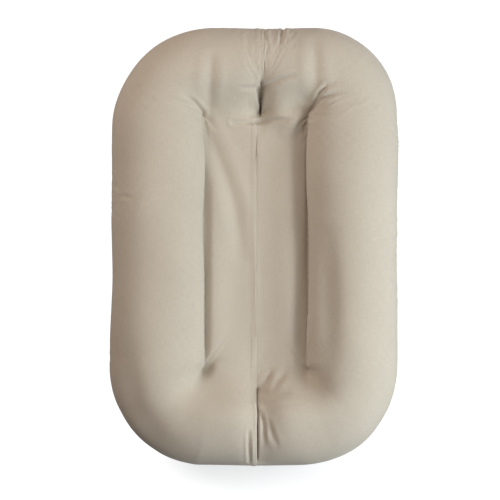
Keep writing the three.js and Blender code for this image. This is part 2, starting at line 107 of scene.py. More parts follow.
class LoungerForm(bpy.types.PropertyGroup):
    """Sizes of the stuffed form"""

    half_width: length("Half width", "From the middle to the side of the bolster", 243)
    half_length: length("Half length", "From the middle to the head or foot end", 368.5)
    height: length("Height", "Floor to the crest of the bolster", 115)
    groove_left: length("Left groove", "From the middle to the groove left of the sling", 88)
    groove_right: length("Right groove", "From the middle to the groove right of the sling", 91.5)
    groove_height: length("Groove height", "Floor to the bottom of the long grooves", 40)
    sling_height: length("Sling height", "Floor to the middle of the sling", 51)
    end_height: length("End height", "Floor to the sling where it meets the head and foot", 57)
    cloth: length("Cover cloth", "Thickness of the cover", 1.2)
    lining: length("Lining", "Thickness of the insert's casing", 1.0)
    canvas: length("Canvas", "Thickness of the insert's sling", 2.4)
    stations: IntProperty(name="Stations", description="Columns of each simulated half", default=180)
    frames: IntProperty(name="Frames", description="How long the cloth is simulated", default=24)
    pressure: number("Pressure", "How hard the stuffing pushes out", 4)


class LoungerCloth(bpy.types.PropertyGroup):
    """Colours of the cloth and hardware"""

    cover: colour("Cover", "Woven cotton of the cover", "#beb4a5")
    casing: colour("Casing", "Unbleached lining", "#e6dfd0")
    canvas: colour("Canvas", "Sling of the insert", "#e2dac9")
    fibre: colour("Fibre", "Stuffing", "#f3f0e8")
    tape: colour("Tape", "Zip tape", "#b4a996")
    label: colour("Label", "Care label", "#f2efe8")
    nylon: colour("Nylon", "Zip coil", "#a89d8a")
    metal: colour("Metal", "Slider, pull and stops", "#b3ada3")
    floor: colour("Floor", "Studio floor", "#8f8984")


class LoungerStage(bpy.types.PropertyGroup):
    """Camera and light"""

    elevation: number("Elevation", "Camera above the horizon, in degrees", 86)
    distance: number("Distance", "Camera to the middle, in metres", 1.99)
    lens: number("Lens", "Focal length in mm", 85)
    key: number("Key", "Soft lamp at the right, in watts", 25)
    side: number("Side", "Soft lamp at the foot's right, in watts", 17)
    fill: number("Fill", "Soft lamp high at the head's left, in watts", 14.5)
    edge: number("Edge", "Soft low lamp at the head's left, in watts", 8)
    around: number("Around", "Strength of the light from all round", 0.05)


# The stuffed form, in mm -------------------------------------------------------------------

# Rows run from under the channel seam, over the floor, round the outside, over the crest, down the
# inside to the channel seam and across the sling to the centre seam.
ROWS_UNDER = 6
ROWS_FLOOR = 4
ROWS_OUTER = 22
ROWS_INNER = 18
ROWS_SLING = 16
FLOOR_ROW = ROWS_UNDER + ROWS_FLOOR - 1
SIDE_SEAM_ROW = FLOOR_ROW + 6
CREST_ROW = FLOOR_ROW + ROWS_OUTER - 1
CHANNEL_ROW = CREST_ROW + ROWS_INNER
SPINE_ROW = CHANNEL_ROW + ROWS_SLING

CORNER_RADII = {("foot", -1): 155, ("foot", 1): 163, ("head", -1): 171, ("head", 1): 142}
GROOVE_FOOT = -215
GROOVE_HEAD = 219
FOOT_FULLNESS, HEAD_FULLNESS = 1.35, 1.5  # how full the ends' slopes down to the sling are
FAN_REACH = 20  # the groove's end rounds into the end channel over this much
AXIS_HEIGHT = 52.2  # of the bolster's widest line
FLOOR_SPREAD = 8  # how far the bolster would hang below the floor
UNDERSIDE = 15  # height of the cover's bottom under the sling
CHANNEL_RISE = 24
GROOVE_ANGLE = math.radians(104)  # the inner face turns under into the groove
SPINE_FOOT, SPINE_HEAD = -150, 154  # ends of the line where the sling's halves meet
START_HEIGHT = 110  # before the stuffing lifts the crest
START_INSET = 3
# The hump beside each groove: where its top is and how wide it is, as shares of the way from the
# groove to the centre seam, and its height
HUMPS = {-1: (0.2, 0.3, 8), 1: (0.4, 0.3, 6)}
# How far each side of the outline stands out, at places along it
SIDE_BULGE = {
    -1: ([-320, -210, -60, 60, 160, 300], [0, 4, 0.5, 0, 2.5, 0]),
    1: ([-320, -170, -60, 60, 175, 300], [0, 1, 0, 1.5, 5.5, 0]),
}
SLOPE_ROUNDS = 24  # of easing, over the slopes from the ends to the sling
FOOT_ROUNDS = 8  # of easing, over the foot end, which the photo shows without small creases
FOOT_EASE = {"from": 190, "over": 50, "share": 0.8}
STITCH_BEAT = 13  # mm from one pucker of a groove to the next
LUMP_LENGTH = 95
LUMP_HEIGHT = 1.6
SLING_LUMPS = 0.4  # the lumps' height under the sling, as a share of the bolster's


def smooth(t):
    """A step from 0 to 1 with soft ends."""
    t = np.clip(t, 0, 1)
    return t * t * (3 - 2 * t)


def bell(distance, width):
    """1 at no distance, and fading out softly over the width."""
    return np.exp(-((distance / width) ** 2))


def mix(a, b, t):
    """From a at 0 to b at 1."""
    return a + (b - a) * t


def unit(vectors):
    """The vectors, each one long."""
    return vectors / np.maximum(np.linalg.norm(vectors, axis=-1, keepdims=True), 1e-9)


def seam_x(y):
    """Where the centre seam runs: it wanders to the right over the head."""
    return 4 + 7 * smooth((np.asarray(y, float) - 205) / 55)


def spaced(total, count):
    """Places along a half loop, closer together near the seam at its two ends."""
    fine = np.linspace(0, total, 3001)
    gap = np.interp(np.minimum(fine, total - fine), [0, 60, 200, 420], [3, 4.5, 6.5, 8.5])
    passed = np.concatenate([[0], np.cumsum(np.diff(fine) / gap[1:])])
    return np.interp(np.linspace(0, passed[-1], count), passed, fine)


def sling_z(x, y, side, groove, size):
    """Height of the sling's face: low in the grooves, humped beside them and rising to both ends."""
    across = np.clip((side * (x - seam_x(y))) / (side * (groove - seam_x(y))), 0, 1)
    inset = 1 - across
    middle = size.sling_height / MM
    low = size.groove_height / MM + (13 if side < 0 else 2 + 6 * smooth(-y / 150))
    top, spread, hump = HUMPS[side]
    rise = np.where(inset < top, 0.55 * top, spread)
    if side < 0:  # the left hump fades to the head
        hump = hump * mix(1, 0.2, smooth((y - 55) / 80))
    lifted = middle + hump * bell(inset - top, rise)
    z = mix(low, lifted, 0.65 * (1 - np.exp(-inset / 0.035)) + 0.35 * (1 - np.exp(-inset / 0.12)))
    reach = np.where((y > 0) & (side > 0), 90, 55) + 25 * (1 - across**2)
    end = np.where(y > 0, GROOVE_HEAD - y, y - GROOVE_FOOT)
    return mix(z, size.end_height / MM, smooth(1 - end / reach))


def half_plan(side, size):
    """The outline, the channel, the spine and the groove's weight at each station, foot to head."""
    hw, hl = size.half_width / MM - START_INSET, size.half_length / MM
    groove = side * (size.groove_left if side < 0 else size.groove_right) / MM
    turn_x = groove - side * FAN_REACH
    seams = [float(seam_x(-hl)), float(seam_x(hl))]
    radii = [CORNER_RADII[end, side] for end in ("foot", "head")]
    centres = [side * (hw - radius) for radius in radii]
    flats = [abs(centre - seam) for centre, seam in zip(centres, seams)]
    rounds = [radius * HALF for radius in radii]
    legs = [flats[0], rounds[0], 2 * hl - sum(radii), rounds[1], flats[1]]
    ends = np.cumsum(legs)  # of the foot end, its corner, the side, the head's corner and the head end
    places = spaced(ends[-1], size.stations)
    outline, channel, weight = [], [], []
    for place in places:
        leg = min(int(np.searchsorted(ends, place)), 4)
        k = 1 - (ends[leg] - place) / legs[leg]
        if leg == 2:
            outline.append((side * hw, mix(radii[0] - hl, hl - radii[1], k)))
            channel.append((groove, mix(GROOVE_FOOT + FAN_REACH, GROOVE_HEAD - FAN_REACH, k)))
            weight.append(1)
            continue
        # The head end's legs are the foot end's, run the other way.
        head = leg > 2
        way, end = (1, GROOVE_HEAD) if head else (-1, GROOVE_FOOT)
        k = 1 - k if head else k
        if leg in (0, 4):
            outline.append((mix(seams[head], centres[head], k), way * hl))
            channel.append((mix(float(seam_x(end)), turn_x, k), end))
            weight.append(0)
        else:
            a = (1 - k) * HALF
            radius = radii[head]
            x = centres[head] + side * radius * math.cos(a)
            outline.append((x, way * (hl - radius + radius * math.sin(a))))
            turn = FAN_REACH * (2 * k - 1)
            channel.append((groove + side * min(turn, 0), end - way * max(turn, 0)))
            weight.append(smooth(k))
    outline = np.array(outline)
    bulge = np.interp(outline[:, 1], *SIDE_BULGE[side])
    outline[:, 0] += side * bulge * (np.abs(outline[:, 0]) / hw) ** 4
    spine_y = mix(SPINE_FOOT, SPINE_HEAD, places / ends[-1])
    spine = np.stack([seam_x(spine_y), spine_y], axis=1)
    return outline, np.array(channel), spine, np.array(weight, float), groove


def half_form(side, size):
    """Start form of one half, stations by rows, with the groove's weight at each station."""
    outline, channel, spine, weight, groove = half_plan(side, size)
    run_vector = channel - outline
    width = np.linalg.norm(run_vector, axis=1)[:, None]
    inward = run_vector / width
    crest = width * 0.5
    run = width - crest
    drop = AXIS_HEIGHT + FLOOR_SPREAD
    contact = math.asin(AXIS_HEIGHT / drop)
    low = sling_z(channel[:, 0], channel[:, 1], side, groove, size)[:, None]
    g = weight[:, None]

    def place(reach, height):
        points = np.empty(reach.shape + (3,))
        points[..., :2] = outline[:, None, :] + inward[:, None, :] * reach[..., None]
        points[..., 2] = height
        return points

    flat_inner = crest + run * math.cos(contact)
    flat_outer = crest - crest * math.cos(contact)
    k = np.linspace(1, 0, ROWS_UNDER)[None, :]
    height = np.minimum(CHANNEL_RISE * k**1.6, UNDERSIDE)
    under = place(flat_inner + (width - flat_inner) * k, height)
    k = np.linspace(0, 1, ROWS_FLOOR + 1)[None, 1:-1]
    floor = place(mix(flat_inner, flat_outer, k), 0)
    a = np.linspace(-contact, HALF, ROWS_OUTER)[None, :]
    rise = START_HEIGHT - AXIS_HEIGHT
    outer = place(crest * (1 - np.cos(a)), AXIS_HEIGHT + np.where(a < 0, drop, rise) * np.sin(a))
    k = np.linspace(0, 1, ROWS_INNER + 1)[None, 1:]
    a = k * GROOVE_ANGLE
    axis = (low - START_HEIGHT * math.cos(GROOVE_ANGLE)) / (1 - math.cos(GROOVE_ANGLE))
    steep = axis + (START_HEIGHT - axis) * np.cos(a)
    fullness = np.where(channel[:, 1] > 0, HEAD_FULLNESS, FOOT_FULLNESS)[:, None]
    gentle = low + (START_HEIGHT - low) * (1 + np.cos(np.pi * k**fullness)) / 2
    steep_reach = crest + run * np.sin(a) / math.sin(GROOVE_ANGLE)
    inner = place(mix(crest + run * k, steep_reach, g), mix(gentle, steep, g))
    k = np.linspace(0, 1, ROWS_SLING + 1)[None, 1:, None]
    plan = mix(channel[:, None, :], spine[:, None, :], k)
    height = sling_z(plan[..., 0], plan[..., 1], side, groove, size)
    sling = np.concatenate([plan, height[..., None]], axis=2)
    return np.concatenate([under, floor, outer, inner, sling], axis=1), weight


def start_ring(size):
    """Both halves as one closed ring of columns: the right one foot to head, then the left one back."""
    right, right_weight = half_form(1, size)
    left, left_weight = half_form(-1, size)
    for end in (0, -1):
        right[end] = left[end] = (right[end] + left[end]) / 2
    ring = np.concatenate([right, left[-2:0:-1]])
    return ring, np.concatenate([right_weight, left_weight[-2:0:-1]])


def mirrored(columns):
    """For each column of a ring, the one across the centre seam."""
    return (-np.arange(columns)) % columns


def joined(columns, rows):
    """Point numbers of a ring whose two sides share the points of the last row, and its quads."""
    number = np.arange(columns * rows).reshape(columns, rows)
    number[:, -1] = np.minimum(number[:, -1], number[mirrored(columns), -1])
    return number, number.reshape(-1)[panel_faces(columns, rows, True)]


def slit_distance(points, slit):
    """How far each point lies from the line of a slit, in plan."""
    past = np.maximum(np.maximum(slit["foot"] - points[..., 1], points[..., 1] - slit["head"]), 0)
    return np.hypot(points[..., 0] - slit["x"], past)


# Where stitches draw the cover in over the head: the line's place, its reach, and how deep and how
# far together it pulls.
HEAD_PINCH = {"x": 11, "foot": 228, "head": 262, "reach": 3.4, "depth": 20, "close": 0.3}
# Where the cloth stands open along the sewn pinches: the line's place, the gap, the depth of its well
# and of the dimple round it.
HEAD_SLIT = {"x": 9.5, "foot": 223, "head": 266, "gap": 5.0, "sink": 22, "dimple": 4}
FOOT_SLIT = {"x": 4, "foot": -352, "head": -243, "gap": 0.5, "sink": 10, "dimple": 4}

# Where the grooves' ends are pulled down: x, y, reach and depth
GROOVE_ENDS = [
    (-88, GROOVE_HEAD, 5, 5),
    (92, GROOVE_HEAD, 5, 5),
    (-88, GROOVE_FOOT, 6, 9),
    (92, GROOVE_FOOT, 6, 8),
]

LEAST_PINCH_HEIGHT = 30

# Places where the cover has cloth to spare: x, y, reach and share
SPARE_CLOTH = [
    (11, 250, 60, 0.4),
    (-92, 225, 50, 0.4),
    (100, 230, 55, 0.7),
    (-88, -222, 38, 0.25),
    (95, -222, 38, 0.3),
    (42, 345, 36, 0.9),
    (4, -350, 34, 0.35),
    (-225, 75, 35, 0.4),
    (235, 30, 34, 0.7),
    (235, 190, 30, 0.6),
    (235, -60, 40, 0.35),
]


# How firmly the stitches hold the sling, its ends and the ring, from 0 to 1
SLING_HOLD, END_HOLD, RING_HOLD = 0.5, 0.33, 0.3


def drawn_in(points, row, weight):
    """Where the stitches pull the points to, and how firmly each point is held, from 0 to 1."""
    x, y = points[:, 0], points[:, 1]
    target = points.copy()
    ends = smooth((np.abs(y) - 150) / 60)
    hold = np.where(row > CHANNEL_ROW, mix(SLING_HOLD, END_HOLD, ends), RING_HOLD)
    hold[row <= FLOOR_ROW] = 1
    hold[(row == CHANNEL_ROW) & (weight > 0.35)] = 1
    near = (row > CREST_ROW - 8) & (slit_distance(points, HEAD_PINCH) < HEAD_PINCH["reach"])
    target[near, 2] = np.maximum(points[near, 2] - HEAD_PINCH["depth"], LEAST_PINCH_HEIGHT)
    target[near, 0] += (HEAD_PINCH["x"] - x[near]) * HEAD_PINCH["close"]
    hold[near] = 1
    for end_x, end_y, reach, depth in GROOVE_ENDS:
        near = (np.hypot(x - end_x, y - end_y) < reach) & (np.abs(row - CHANNEL_ROW) <= 1)
        target[near, 2] -= depth
        hold[near] = 1
    return target, hold


def spare(points, row):
    """How much spare cloth there is at each point, from 0 to 1."""
    amount = np.zeros(len(points))
    for x, y, reach, share in SPARE_CLOTH:
        away = ((points[:, 0] - x) ** 2 + (points[:, 1] - y) ** 2) / reach**2
        amount = np.maximum(amount, share * np.exp(-away))
    return amount * smooth((row - FLOOR_ROW - 5) / 4)


def stuffing(row, grooved):
    """How hard the stuffing pushes at each point: hard round the ring, and hardly under the sling."""
    at_groove = np.where(row > CHANNEL_ROW, 0.2, 1)
    at_ends = mix(0.2, 1, smooth((CHANNEL_ROW + 4 - row) / 18))
    return mix(at_ends, at_groove, grooved)


def placed(name, data):
    """A new object in the scene."""
    thing = bpy.data.objects.new(name, data)
    bpy.context.scene.collection.objects.link(thing)
    return thing


def weigh(thing, name, weights):
    """Adds a vertex group with a weight for each vertex."""
    group = thing.vertex_groups.new(name=name)
    rounded = np.round(weights, 2)
    for value in np.unique(rounded):
        group.add(np.where(rounded == value)[0].tolist(), float(value), "REPLACE")
    return group.name


DRAWN_FRAME = 14  # when the stitches are fully drawn in


def simulated(ring, weight, size):
    """Blows the cover out with the stuffing while its stitches draw in, and gives the settled ring."""
    columns, rows = ring.shape[:2]
    number, faces = joined(columns, rows)
    # A lid from side to side closes the underside.
    lid = np.arange(columns // 2)
    across = mirrored(columns)
    corners = (lid, across[lid], across[lid + 1], lid + 1)
    faces = np.concatenate([faces, np.stack([number[corner, 0] for corner in corners], 1)])
    used, faces = np.unique(faces, return_inverse=True)
    faces = faces.reshape(-1, 4)
    points = ring.reshape(-1, 3)[used]
    row = used % rows
    polygons = [list(dict.fromkeys(face)) for face in faces.tolist()]
    mesh = bpy.data.meshes.new("stuffed_form")
    mesh.from_pydata((points * MM).tolist(), [], polygons)
    thing = placed("stuffed_form", mesh)

    grooved = np.repeat(weight, rows)[used]
    target, hold = drawn_in(points, row, grooved)
    thing.shape_key_add(name="Basis")
    drawn = thing.shape_key_add(name="drawn")
    drawn.data.foreach_set("co", (target * MM).ravel())
    for moment, value in ((1, 0), (DRAWN_FRAME, 1)):
        drawn.value = value
        drawn.keyframe_insert("value", frame=moment)

    cloth = thing.modifiers.new("cloth", "CLOTH")
    settings = cloth.settings
    settings.quality = 6
    settings.mass = 0.15
    settings.tension_stiffness = settings.compression_stiffness = 20
    settings.shear_stiffness = 4
    settings.bending_stiffness = 0.05
    settings.tension_damping = settings.compression_damping = settings.shear_damping = 5
    settings.bending_damping = 0.5
    settings.use_pressure = True
    settings.uniform_pressure_force = size.pressure
    settings.effector_weights.gravity = 0
    settings.vertex_group_mass = weigh(thing, "hold", hold)
    settings.vertex_group_shrink = weigh(thing, "no_spare", 1 - spare(points, row))
    settings.vertex_group_pressure = weigh(thing, "stuffed", stuffing(row, grooved))
    settings.shrink_min = -0.03
    settings.shrink_max = 0
    settings.pin_stiffness = 2
    cloth.collision_settings.use_collision = False
    cloth.point_cache.frame_start = 1
    cloth.point_cache.frame_end = size.frames
    for moment in range(1, size.frames + 1):
        bpy.context.scene.frame_set(moment)
    settled = thing.evaluated_get(bpy.context.evaluated_depsgraph_get())
    flat = np.empty(len(points) * 3)
    settled.data.vertices.foreach_get("co", flat)
    bpy.data.objects.remove(thing)
    bpy.context.scene.frame_set(1)
    result = np.empty((columns * rows, 3))
    result[used] = flat.reshape(-1, 3) / MM
    return result[number]


def along(values, places):
    """Points of a smooth curve through values[1:-2], at places counted from values[1]."""
    start = np.minimum(np.floor(places).astype(int), len(values) - 4)
    t = (places - start).reshape(-1, *[1] * (values.ndim - 1))
    a, b, c, d = (values[start + k] for k in range(4))
    return b + t * (c - a + t * (2 * a - 5 * b + 4 * c - d + t * (3 * (b - c) + d - a))) / 2


def split(count, parts, near):
    """Places 0 to count: each gap in so many parts, and finer within 2 gaps of the places near."""
    finer = np.array([0, 0.13, 0.27, 0.45, 0.7, 1, 1.5])
    places = [np.arange(0, count, 1 / parts)]
    for place in near:
        places += [place - finer, place + finer]
    places = np.unique(np.round(np.concatenate(places), 4))
    return places[(places >= 0) & (places <= count)]


def at_row(rows, coarse):
    """The number of the finer row that lies on a coarse one."""
    return int(np.argmin(np.abs(rows - coarse)))


def resampled(ring, columns, rows):
    """The ring as a smooth surface at finer places along its columns and rows."""
    across = mirrored(len(ring))
    beyond = ring[across, SPINE_ROW - 1 : SPINE_ROW - 3 : -1]
    for end in (0, len(ring) // 2):
        step = ring[end, SPINE_ROW] - ring[end, SPINE_ROW - 1]
        beyond[end] = ring[end, SPINE_ROW] + step * np.array([[1], [2]])
    before = 2 * ring[:, :1] - ring[:, 1:2]
    padded = np.concatenate([before, ring, beyond], axis=1).transpose(1, 0, 2)
    finer = along(padded, rows).transpose(1, 0, 2)
    return along(np.concatenate([finer[-1:], finer, finer[:2]]), columns)


def grid_normals(ring):
    """Unit normals of a ring's points, facing out."""
    across = mirrored(len(ring))
    by_column = np.roll(ring, -1, axis=0) - np.roll(ring, 1, axis=0)
    by_row = np.empty_like(ring)
    by_row[:, 1:-1] = ring[:, 2:] - ring[:, :-2]
    by_row[:, 0] = ring[:, 1] - ring[:, 0]
    by_row[:, -1] = ring[across, -2] - ring[:, -2]
    for end in (0, len(ring) // 2):
        by_row[end, -1] = ring[end, -1] - ring[end, -2]
        by_column[end, -1] = by_column[end, -2]
    return unit(np.cross(by_column, by_row))


def eased(ring, rounds, share=1.0):
    """The ring with each point drawn towards its neighbours' middle, again and again."""
    across = mirrored(len(ring))
    for _ in range(rounds):
        before = np.concatenate([ring[:, :1], ring[:, :-1]], axis=1)
        after = np.concatenate([ring[:, 1:], ring[across, -2][:, None]], axis=1)
        middle = (np.roll(ring, 1, axis=0) + np.roll(ring, -1, axis=0) + before + after) / 4
        for end in (0, len(ring) // 2):
            middle[end, -1] = ring[end, -1]
        ring = mix(ring, middle, 0.5 * share)
    return ring


SLOPE_ROWS = 9  # how far the smooth slopes reach either side of the channel seam
PINCH_NEAR, PINCH_FADE = 5, 14  # they leave out the cloth near the pinch, and fade in round it


def end_slopes(ring, weight):
    """How much of each point is on the smooth slopes from the ends down to the sling, 0 to 1."""
    row = np.arange(ring.shape[1])[None, :]
    slope = (1 - smooth(weight / 0.6))[:, None] * bell(row - CHANNEL_ROW, SLOPE_ROWS)
    slope = slope * smooth((slit_distance(ring, HEAD_PINCH) - PINCH_NEAR) / PINCH_FADE)
    return slope[..., None]


# Creases, as plan points in mm with their depth and half width
CREASES = [
    ([(17, 262), (38, 269), (68, 277)], 3.0, 3.2),
    ([(-86, 200), (-60, 143), (-47, 105), (-37, 72), (-29, 30), (-22, -40)], 3.6, 10.0),
    ([(5, 260), (-10, 259), (-27, 256)], 1.8, 2.6),
    ([(-38, 206), (4, 207), (30, 209), (62, 208)], 4.0, 3.0),
    ([(48, 366), (45, 348), (42, 326)], 4.0, 2.6),
    ([(18, 366), (17, 350), (16, 335)], 2.0, 2.4),
    ([(-88, 223), (-100, 233), (-112, 240)], 3.4, 3.2),
    ([(-90, 221), (-112, 229), (-136, 232)], 2.4, 3.0),
    ([(95, 224), (106, 246), (118, 259), (134, 262)], 3.6, 3.2),
    ([(97, 222), (112, 240), (134, 246), (150, 247)], 2.8, 3.0),
    ([(-226, 77), (-212, 74), (-190, 72)], 2.6, 2.8),
    ([(228, 22), (218, 27), (204, 37)], 2.0, 2.8),
    ([(228, 5), (220, 8), (208, 12)], 1.2, 2.6),
    ([(-72, 305), (-74, 270), (-80, 228)], 3.2, 8.0),
    ([(98, 330), (99, 290), (101, 246)], 3.0, 9.0),
    ([(8, -278), (14, -300), (15, -334)], 2.4, 3.0),
    ([(20, -292), (28, -314), (38, -336)], 1.6, 3.6),
    ([(-10, -308), (-10, -336), (-9, -364)], 3.4, 2.4),
    ([(12, -244), (20, -226), (28, -208)], 2.4, 4.6),
    ([(30, -238), (44, -222), (57, -204)], 2.0, 4.6),
    ([(6, -248), (32, -250), (60, -246)], 2.0, 4.8),
]


CREASE_LIP = 0.4  # height of the lip beside a crease, as a share of its depth
# Broad soft hollows, as plan points in mm with their depth and half width. A depth below 0 is a swell.
DENTS = [
    ([(113, 10), (117, -70), (118, -150), (114, -215)], 8.0, 21.0),
    ([(-215, -190), (-200, -270), (-158, -325), (-95, -352)], 6.5, 26.0),
    ([(10, -200), (10, -250), (13, -310), (12, -366)], 11.0, 31.0),
    ([(24, 230), (48, 222), (76, 212)], -12.0, 22.0),
    ([(56, 196), (72, 208), (84, 224), (88, 240)], -10.0, 13.0),
    ([(-80, -196), (-81, -224)], 4.0, 11.0),
    ([(6, -230), (6, -258)], 6.0, 12.0),
    ([(-74, 226), (-40, 228), (-10, 232)], -5.0, 20.0),
]


LEAST_SLIT_HEIGHT = 24
SLIT_SPREAD = 15  # how far from a slit its gap moves the cloth
DIMPLE_WIDTH = 19


def opened(ring, slit):
    """The ring with the cloth sunk and held open along a slit, widest near the slit's head."""
    moved = ring.copy()
    top = np.zeros(ring.shape[:2], bool)
    top[:, len(ring[0]) // 3 :] = True
    share = (ring[..., 1] - slit["foot"]) / (slit["head"] - slit["foot"])
    aside = ring[..., 0] - slit["x"]
    inside = np.clip(share, 0, 1)
    # The powers put the widest place nearer to the slit's head.
    gap = slit["gap"] * np.sin(np.pi * inside**2.6) ** 0.7 * top
    moved[..., 0] += gap * np.tanh(aside / 1.2) * bell(aside, SLIT_SPREAD)
    past = np.maximum(np.maximum(-share, share - 1), 0) * (slit["head"] - slit["foot"])
    deep = np.sin(np.pi * mix(0.06, 0.9, inside)) ** 0.4 * bell(past, 4) * slit["sink"]
    well = bell(aside, mix(1.1, 2.6, inside**2)) * deep
    well = well + bell(np.hypot(aside, past), DIMPLE_WIDTH) * slit["dimple"]
    moved[..., 2] -= well * top
    moved[..., 2] = np.where(top, np.maximum(moved[..., 2], LEAST_SLIT_HEIGHT), moved[..., 2])
    return moved


def lumpy(ring):
    """The start form with the soft lumps that loose stuffing makes."""
    moved = ring.copy()
    normals = grid_normals(ring)
    for i, column in enumerate(ring):
        for j in range(SIDE_SEAM_ROW, SPINE_ROW):
            lump = noise.noise(Vector(column[j]) / LUMP_LENGTH)
            strength = LUMP_HEIGHT * min(j - SIDE_SEAM_ROW, 4) / 4
            strength = strength * (1 if j < CHANNEL_ROW else SLING_LUMPS)
            moved[i, j] += normals[i, j] * lump * 2 * strength * (j != CHANNEL_ROW)
    return moved


def pressed(ring, normals, creases, lip):
    """The ring with a fold pressed in along each crease, with a raised lip either side of it."""
    moved = ring.copy()
    row_up = normals[..., 2] > -0.2
    for path, depth, width in creases:
        path = np.array(path, float)
        legs = np.diff(path, axis=0)
        lengths = np.linalg.norm(legs, axis=1)
        total, passed = lengths.sum(), 0
        low, high = path.min(axis=0) - 5 * width, path.max(axis=0) + 5 * width
        near = row_up & np.all((ring[..., :2] > low) & (ring[..., :2] < high), axis=2)
        spots = ring[near][:, :2]
        best, share = np.full(len(spots), 1e9), np.zeros(len(spots))
        for start, leg, size in zip(path[:-1], legs, lengths):
            t = np.clip(((spots - start) @ leg) / size**2, 0, 1)
            away = np.linalg.norm(spots - start - t[:, None] * leg, axis=1)
            closer = away < best
            best = np.where(closer, away, best)
            share = np.where(closer, (passed + t * size) / total, share)
            passed += size
        fade = np.sin(np.pi * mix(0.12, 1, share)) ** 0.8
        profile = lip * bell(best - 2.3 * width, width) - bell(best, width)
        moved[near] += normals[near] * (depth * fade * profile)[:, None]
    return moved


SEAM_SPREAD = 3  # columns either side of the seam that shift with it


def seamed(ring):
    """The ring with its centre seam back on its line, after the cloth beside it has shifted."""
    moved = ring.copy()
    rows = slice(SIDE_SEAM_ROW, SPINE_ROW)
    for end in (0, len(ring) // 2):
        shift = seam_x(ring[end, rows, 1]) - ring[end, rows, 0]
        for step in range(-2 * SEAM_SPREAD, 2 * SEAM_SPREAD + 1):
            moved[end + step, rows, 0] += shift * bell(step, SEAM_SPREAD)
    return moved


PUCKER_HEIGHT, PUCKER_REACH = 1.3, 7
PUCKER_LEVEL = 0.6  # the share of a pucker's height that lies below the cloth round it
PUCKER_SWAY = 31  # how slowly the puckers' spacing changes along a groove


def puckered(ring, channel):
    """The ring with the small scallops that the stitches pull along the grooves."""
    away = np.linalg.norm(ring - ring[:, channel : channel + 1], axis=2)
    y = ring[:, channel, 1]
    in_groove = smooth((GROOVE_HEAD - 5 - np.abs(y)) / 15)
    beat = np.abs(np.sin(np.pi * y / STITCH_BEAT + 0.9 * np.sin(y / PUCKER_SWAY)))
    beat = (beat - PUCKER_LEVEL) * in_groove
    lift = beat[:, None] * PUCKER_HEIGHT * bell(away, PUCKER_REACH) * (away > 0.1)
    return ring + grid_normals(ring) * lift[..., None]


def fitted(ring, size):
    """The ring scaled and moved to the lounger's own box, with nothing below the floor."""
    low, high = ring.reshape(-1, 3).min(axis=0), ring.reshape(-1, 3).max(axis=0)
    reach = np.array([size.half_width, size.half_length, size.height / 2]) / MM
    middle = np.array([0, 0, reach[2]])
    ring = (ring - (low + high) / 2) * (2 * reach / (high - low)) + middle
    ring[..., 2] = np.maximum(ring[..., 2], 0)
    return ring


made = {}  # the settled form, which two operators use


def stuffed(size):
    """The settled form, as a coarse ring of the insert's points and a fine ring of the cover's."""
    if not made:
        ring, weight = start_ring(size)
        ring = lumpy(ring)
        ring = simulated(ring, weight, size)
        ring = eased(ring, SLOPE_ROUNDS, end_slopes(ring, weight))
        foot = smooth((-ring[..., 1:2] - FOOT_EASE["from"]) / FOOT_EASE["over"])
        ring = seamed(eased(ring, FOOT_ROUNDS, FOOT_EASE["share"] * foot))
        ring = fitted(pressed(ring, grid_normals(ring), DENTS, 0), size)
        half = len(ring) // 2
        columns = split(half, 2, [0, half])
        columns = np.concatenate([columns, 2 * half - columns[-2:0:-1]])
        rows = split(SPINE_ROW, 2, [SIDE_SEAM_ROW, CHANNEL_ROW, SPINE_ROW])
        fine = puckered(resampled(ring, columns, rows), at_row(rows, CHANNEL_ROW))
        fine = opened(opened(fine, HEAD_SLIT), FOOT_SLIT)
        fine = pressed(fine, grid_normals(fine), CREASES, CREASE_LIP)
        made.update(ring=ring, fine=fine, columns=columns, rows=rows)
    return made


# Meshes ------------------------------------------------------------------------------------


def piece(name, points, faces):
    """A mesh object on the cushion from points in mm."""
    mesh = bpy.data.meshes.new(name)
    mesh.from_pydata((points * MM).tolist(), [], faces.tolist())
    thing = placed(name, mesh)
    mesh.shade_smooth()
    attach(thing, "cushion")
    return thing


def panel_faces(columns, rows, closed=False):
    """Quads of a grid of columns by rows. A closed one joins its last column to its first."""
    i = np.arange(columns if closed else columns - 1)[:, None]
    j = np.arange(rows - 1)[None, :]
    k = (i + 1) % columns
    corners = (i * rows + j, k * rows + j, k * rows + j + 1, i * rows + j + 1)
    return np.stack(corners, axis=-1).reshape(-1, 4)


def thick_sheet(name, points, faces, inward, thickness, flat):
    """A sheet of cloth with its own thickness: the faces, the same ones below them and a rim between.

    Its UV map gives each point its place in the flat cloth, in metres, which the weave follows.
    """
    count = len(points)
    edges = np.concatenate([faces[:, [k, (k + 1) % 4]] for k in range(4)])
    keys = edges[:, 0].astype(np.int64) * count + edges[:, 1]
    back = edges[:, 1].astype(np.int64) * count + edges[:, 0]
    rim = edges[~np.isin(back, keys)]
    walls = np.stack([rim[:, 1], rim[:, 0], rim[:, 0] + count, rim[:, 1] + count], axis=1)
    everything = np.concatenate([faces, faces[:, ::-1] + count, walls])
    thing = piece(name, np.concatenate([points, points + inward * thickness]), everything)
    lay_flat(thing, flat)
    return thing


def developed(ring, crest):
    """Flat map of the cloth, in metres: plan at one row, and distance over the cloth from there."""
    steps = np.linalg.norm(np.diff(ring, axis=1), axis=2)
    passed = np.concatenate([np.zeros((len(ring), 1)), np.cumsum(steps, axis=1)], axis=1)
    passed -= passed[:, crest : crest + 1]
    lean = unit(ring[:, min(crest + 6, ring.shape[1] - 1), :2] - ring[:, crest - 6, :2])
    return (ring[:, crest, None, :2] + lean[:, None, :] * passed[..., None]) * MM


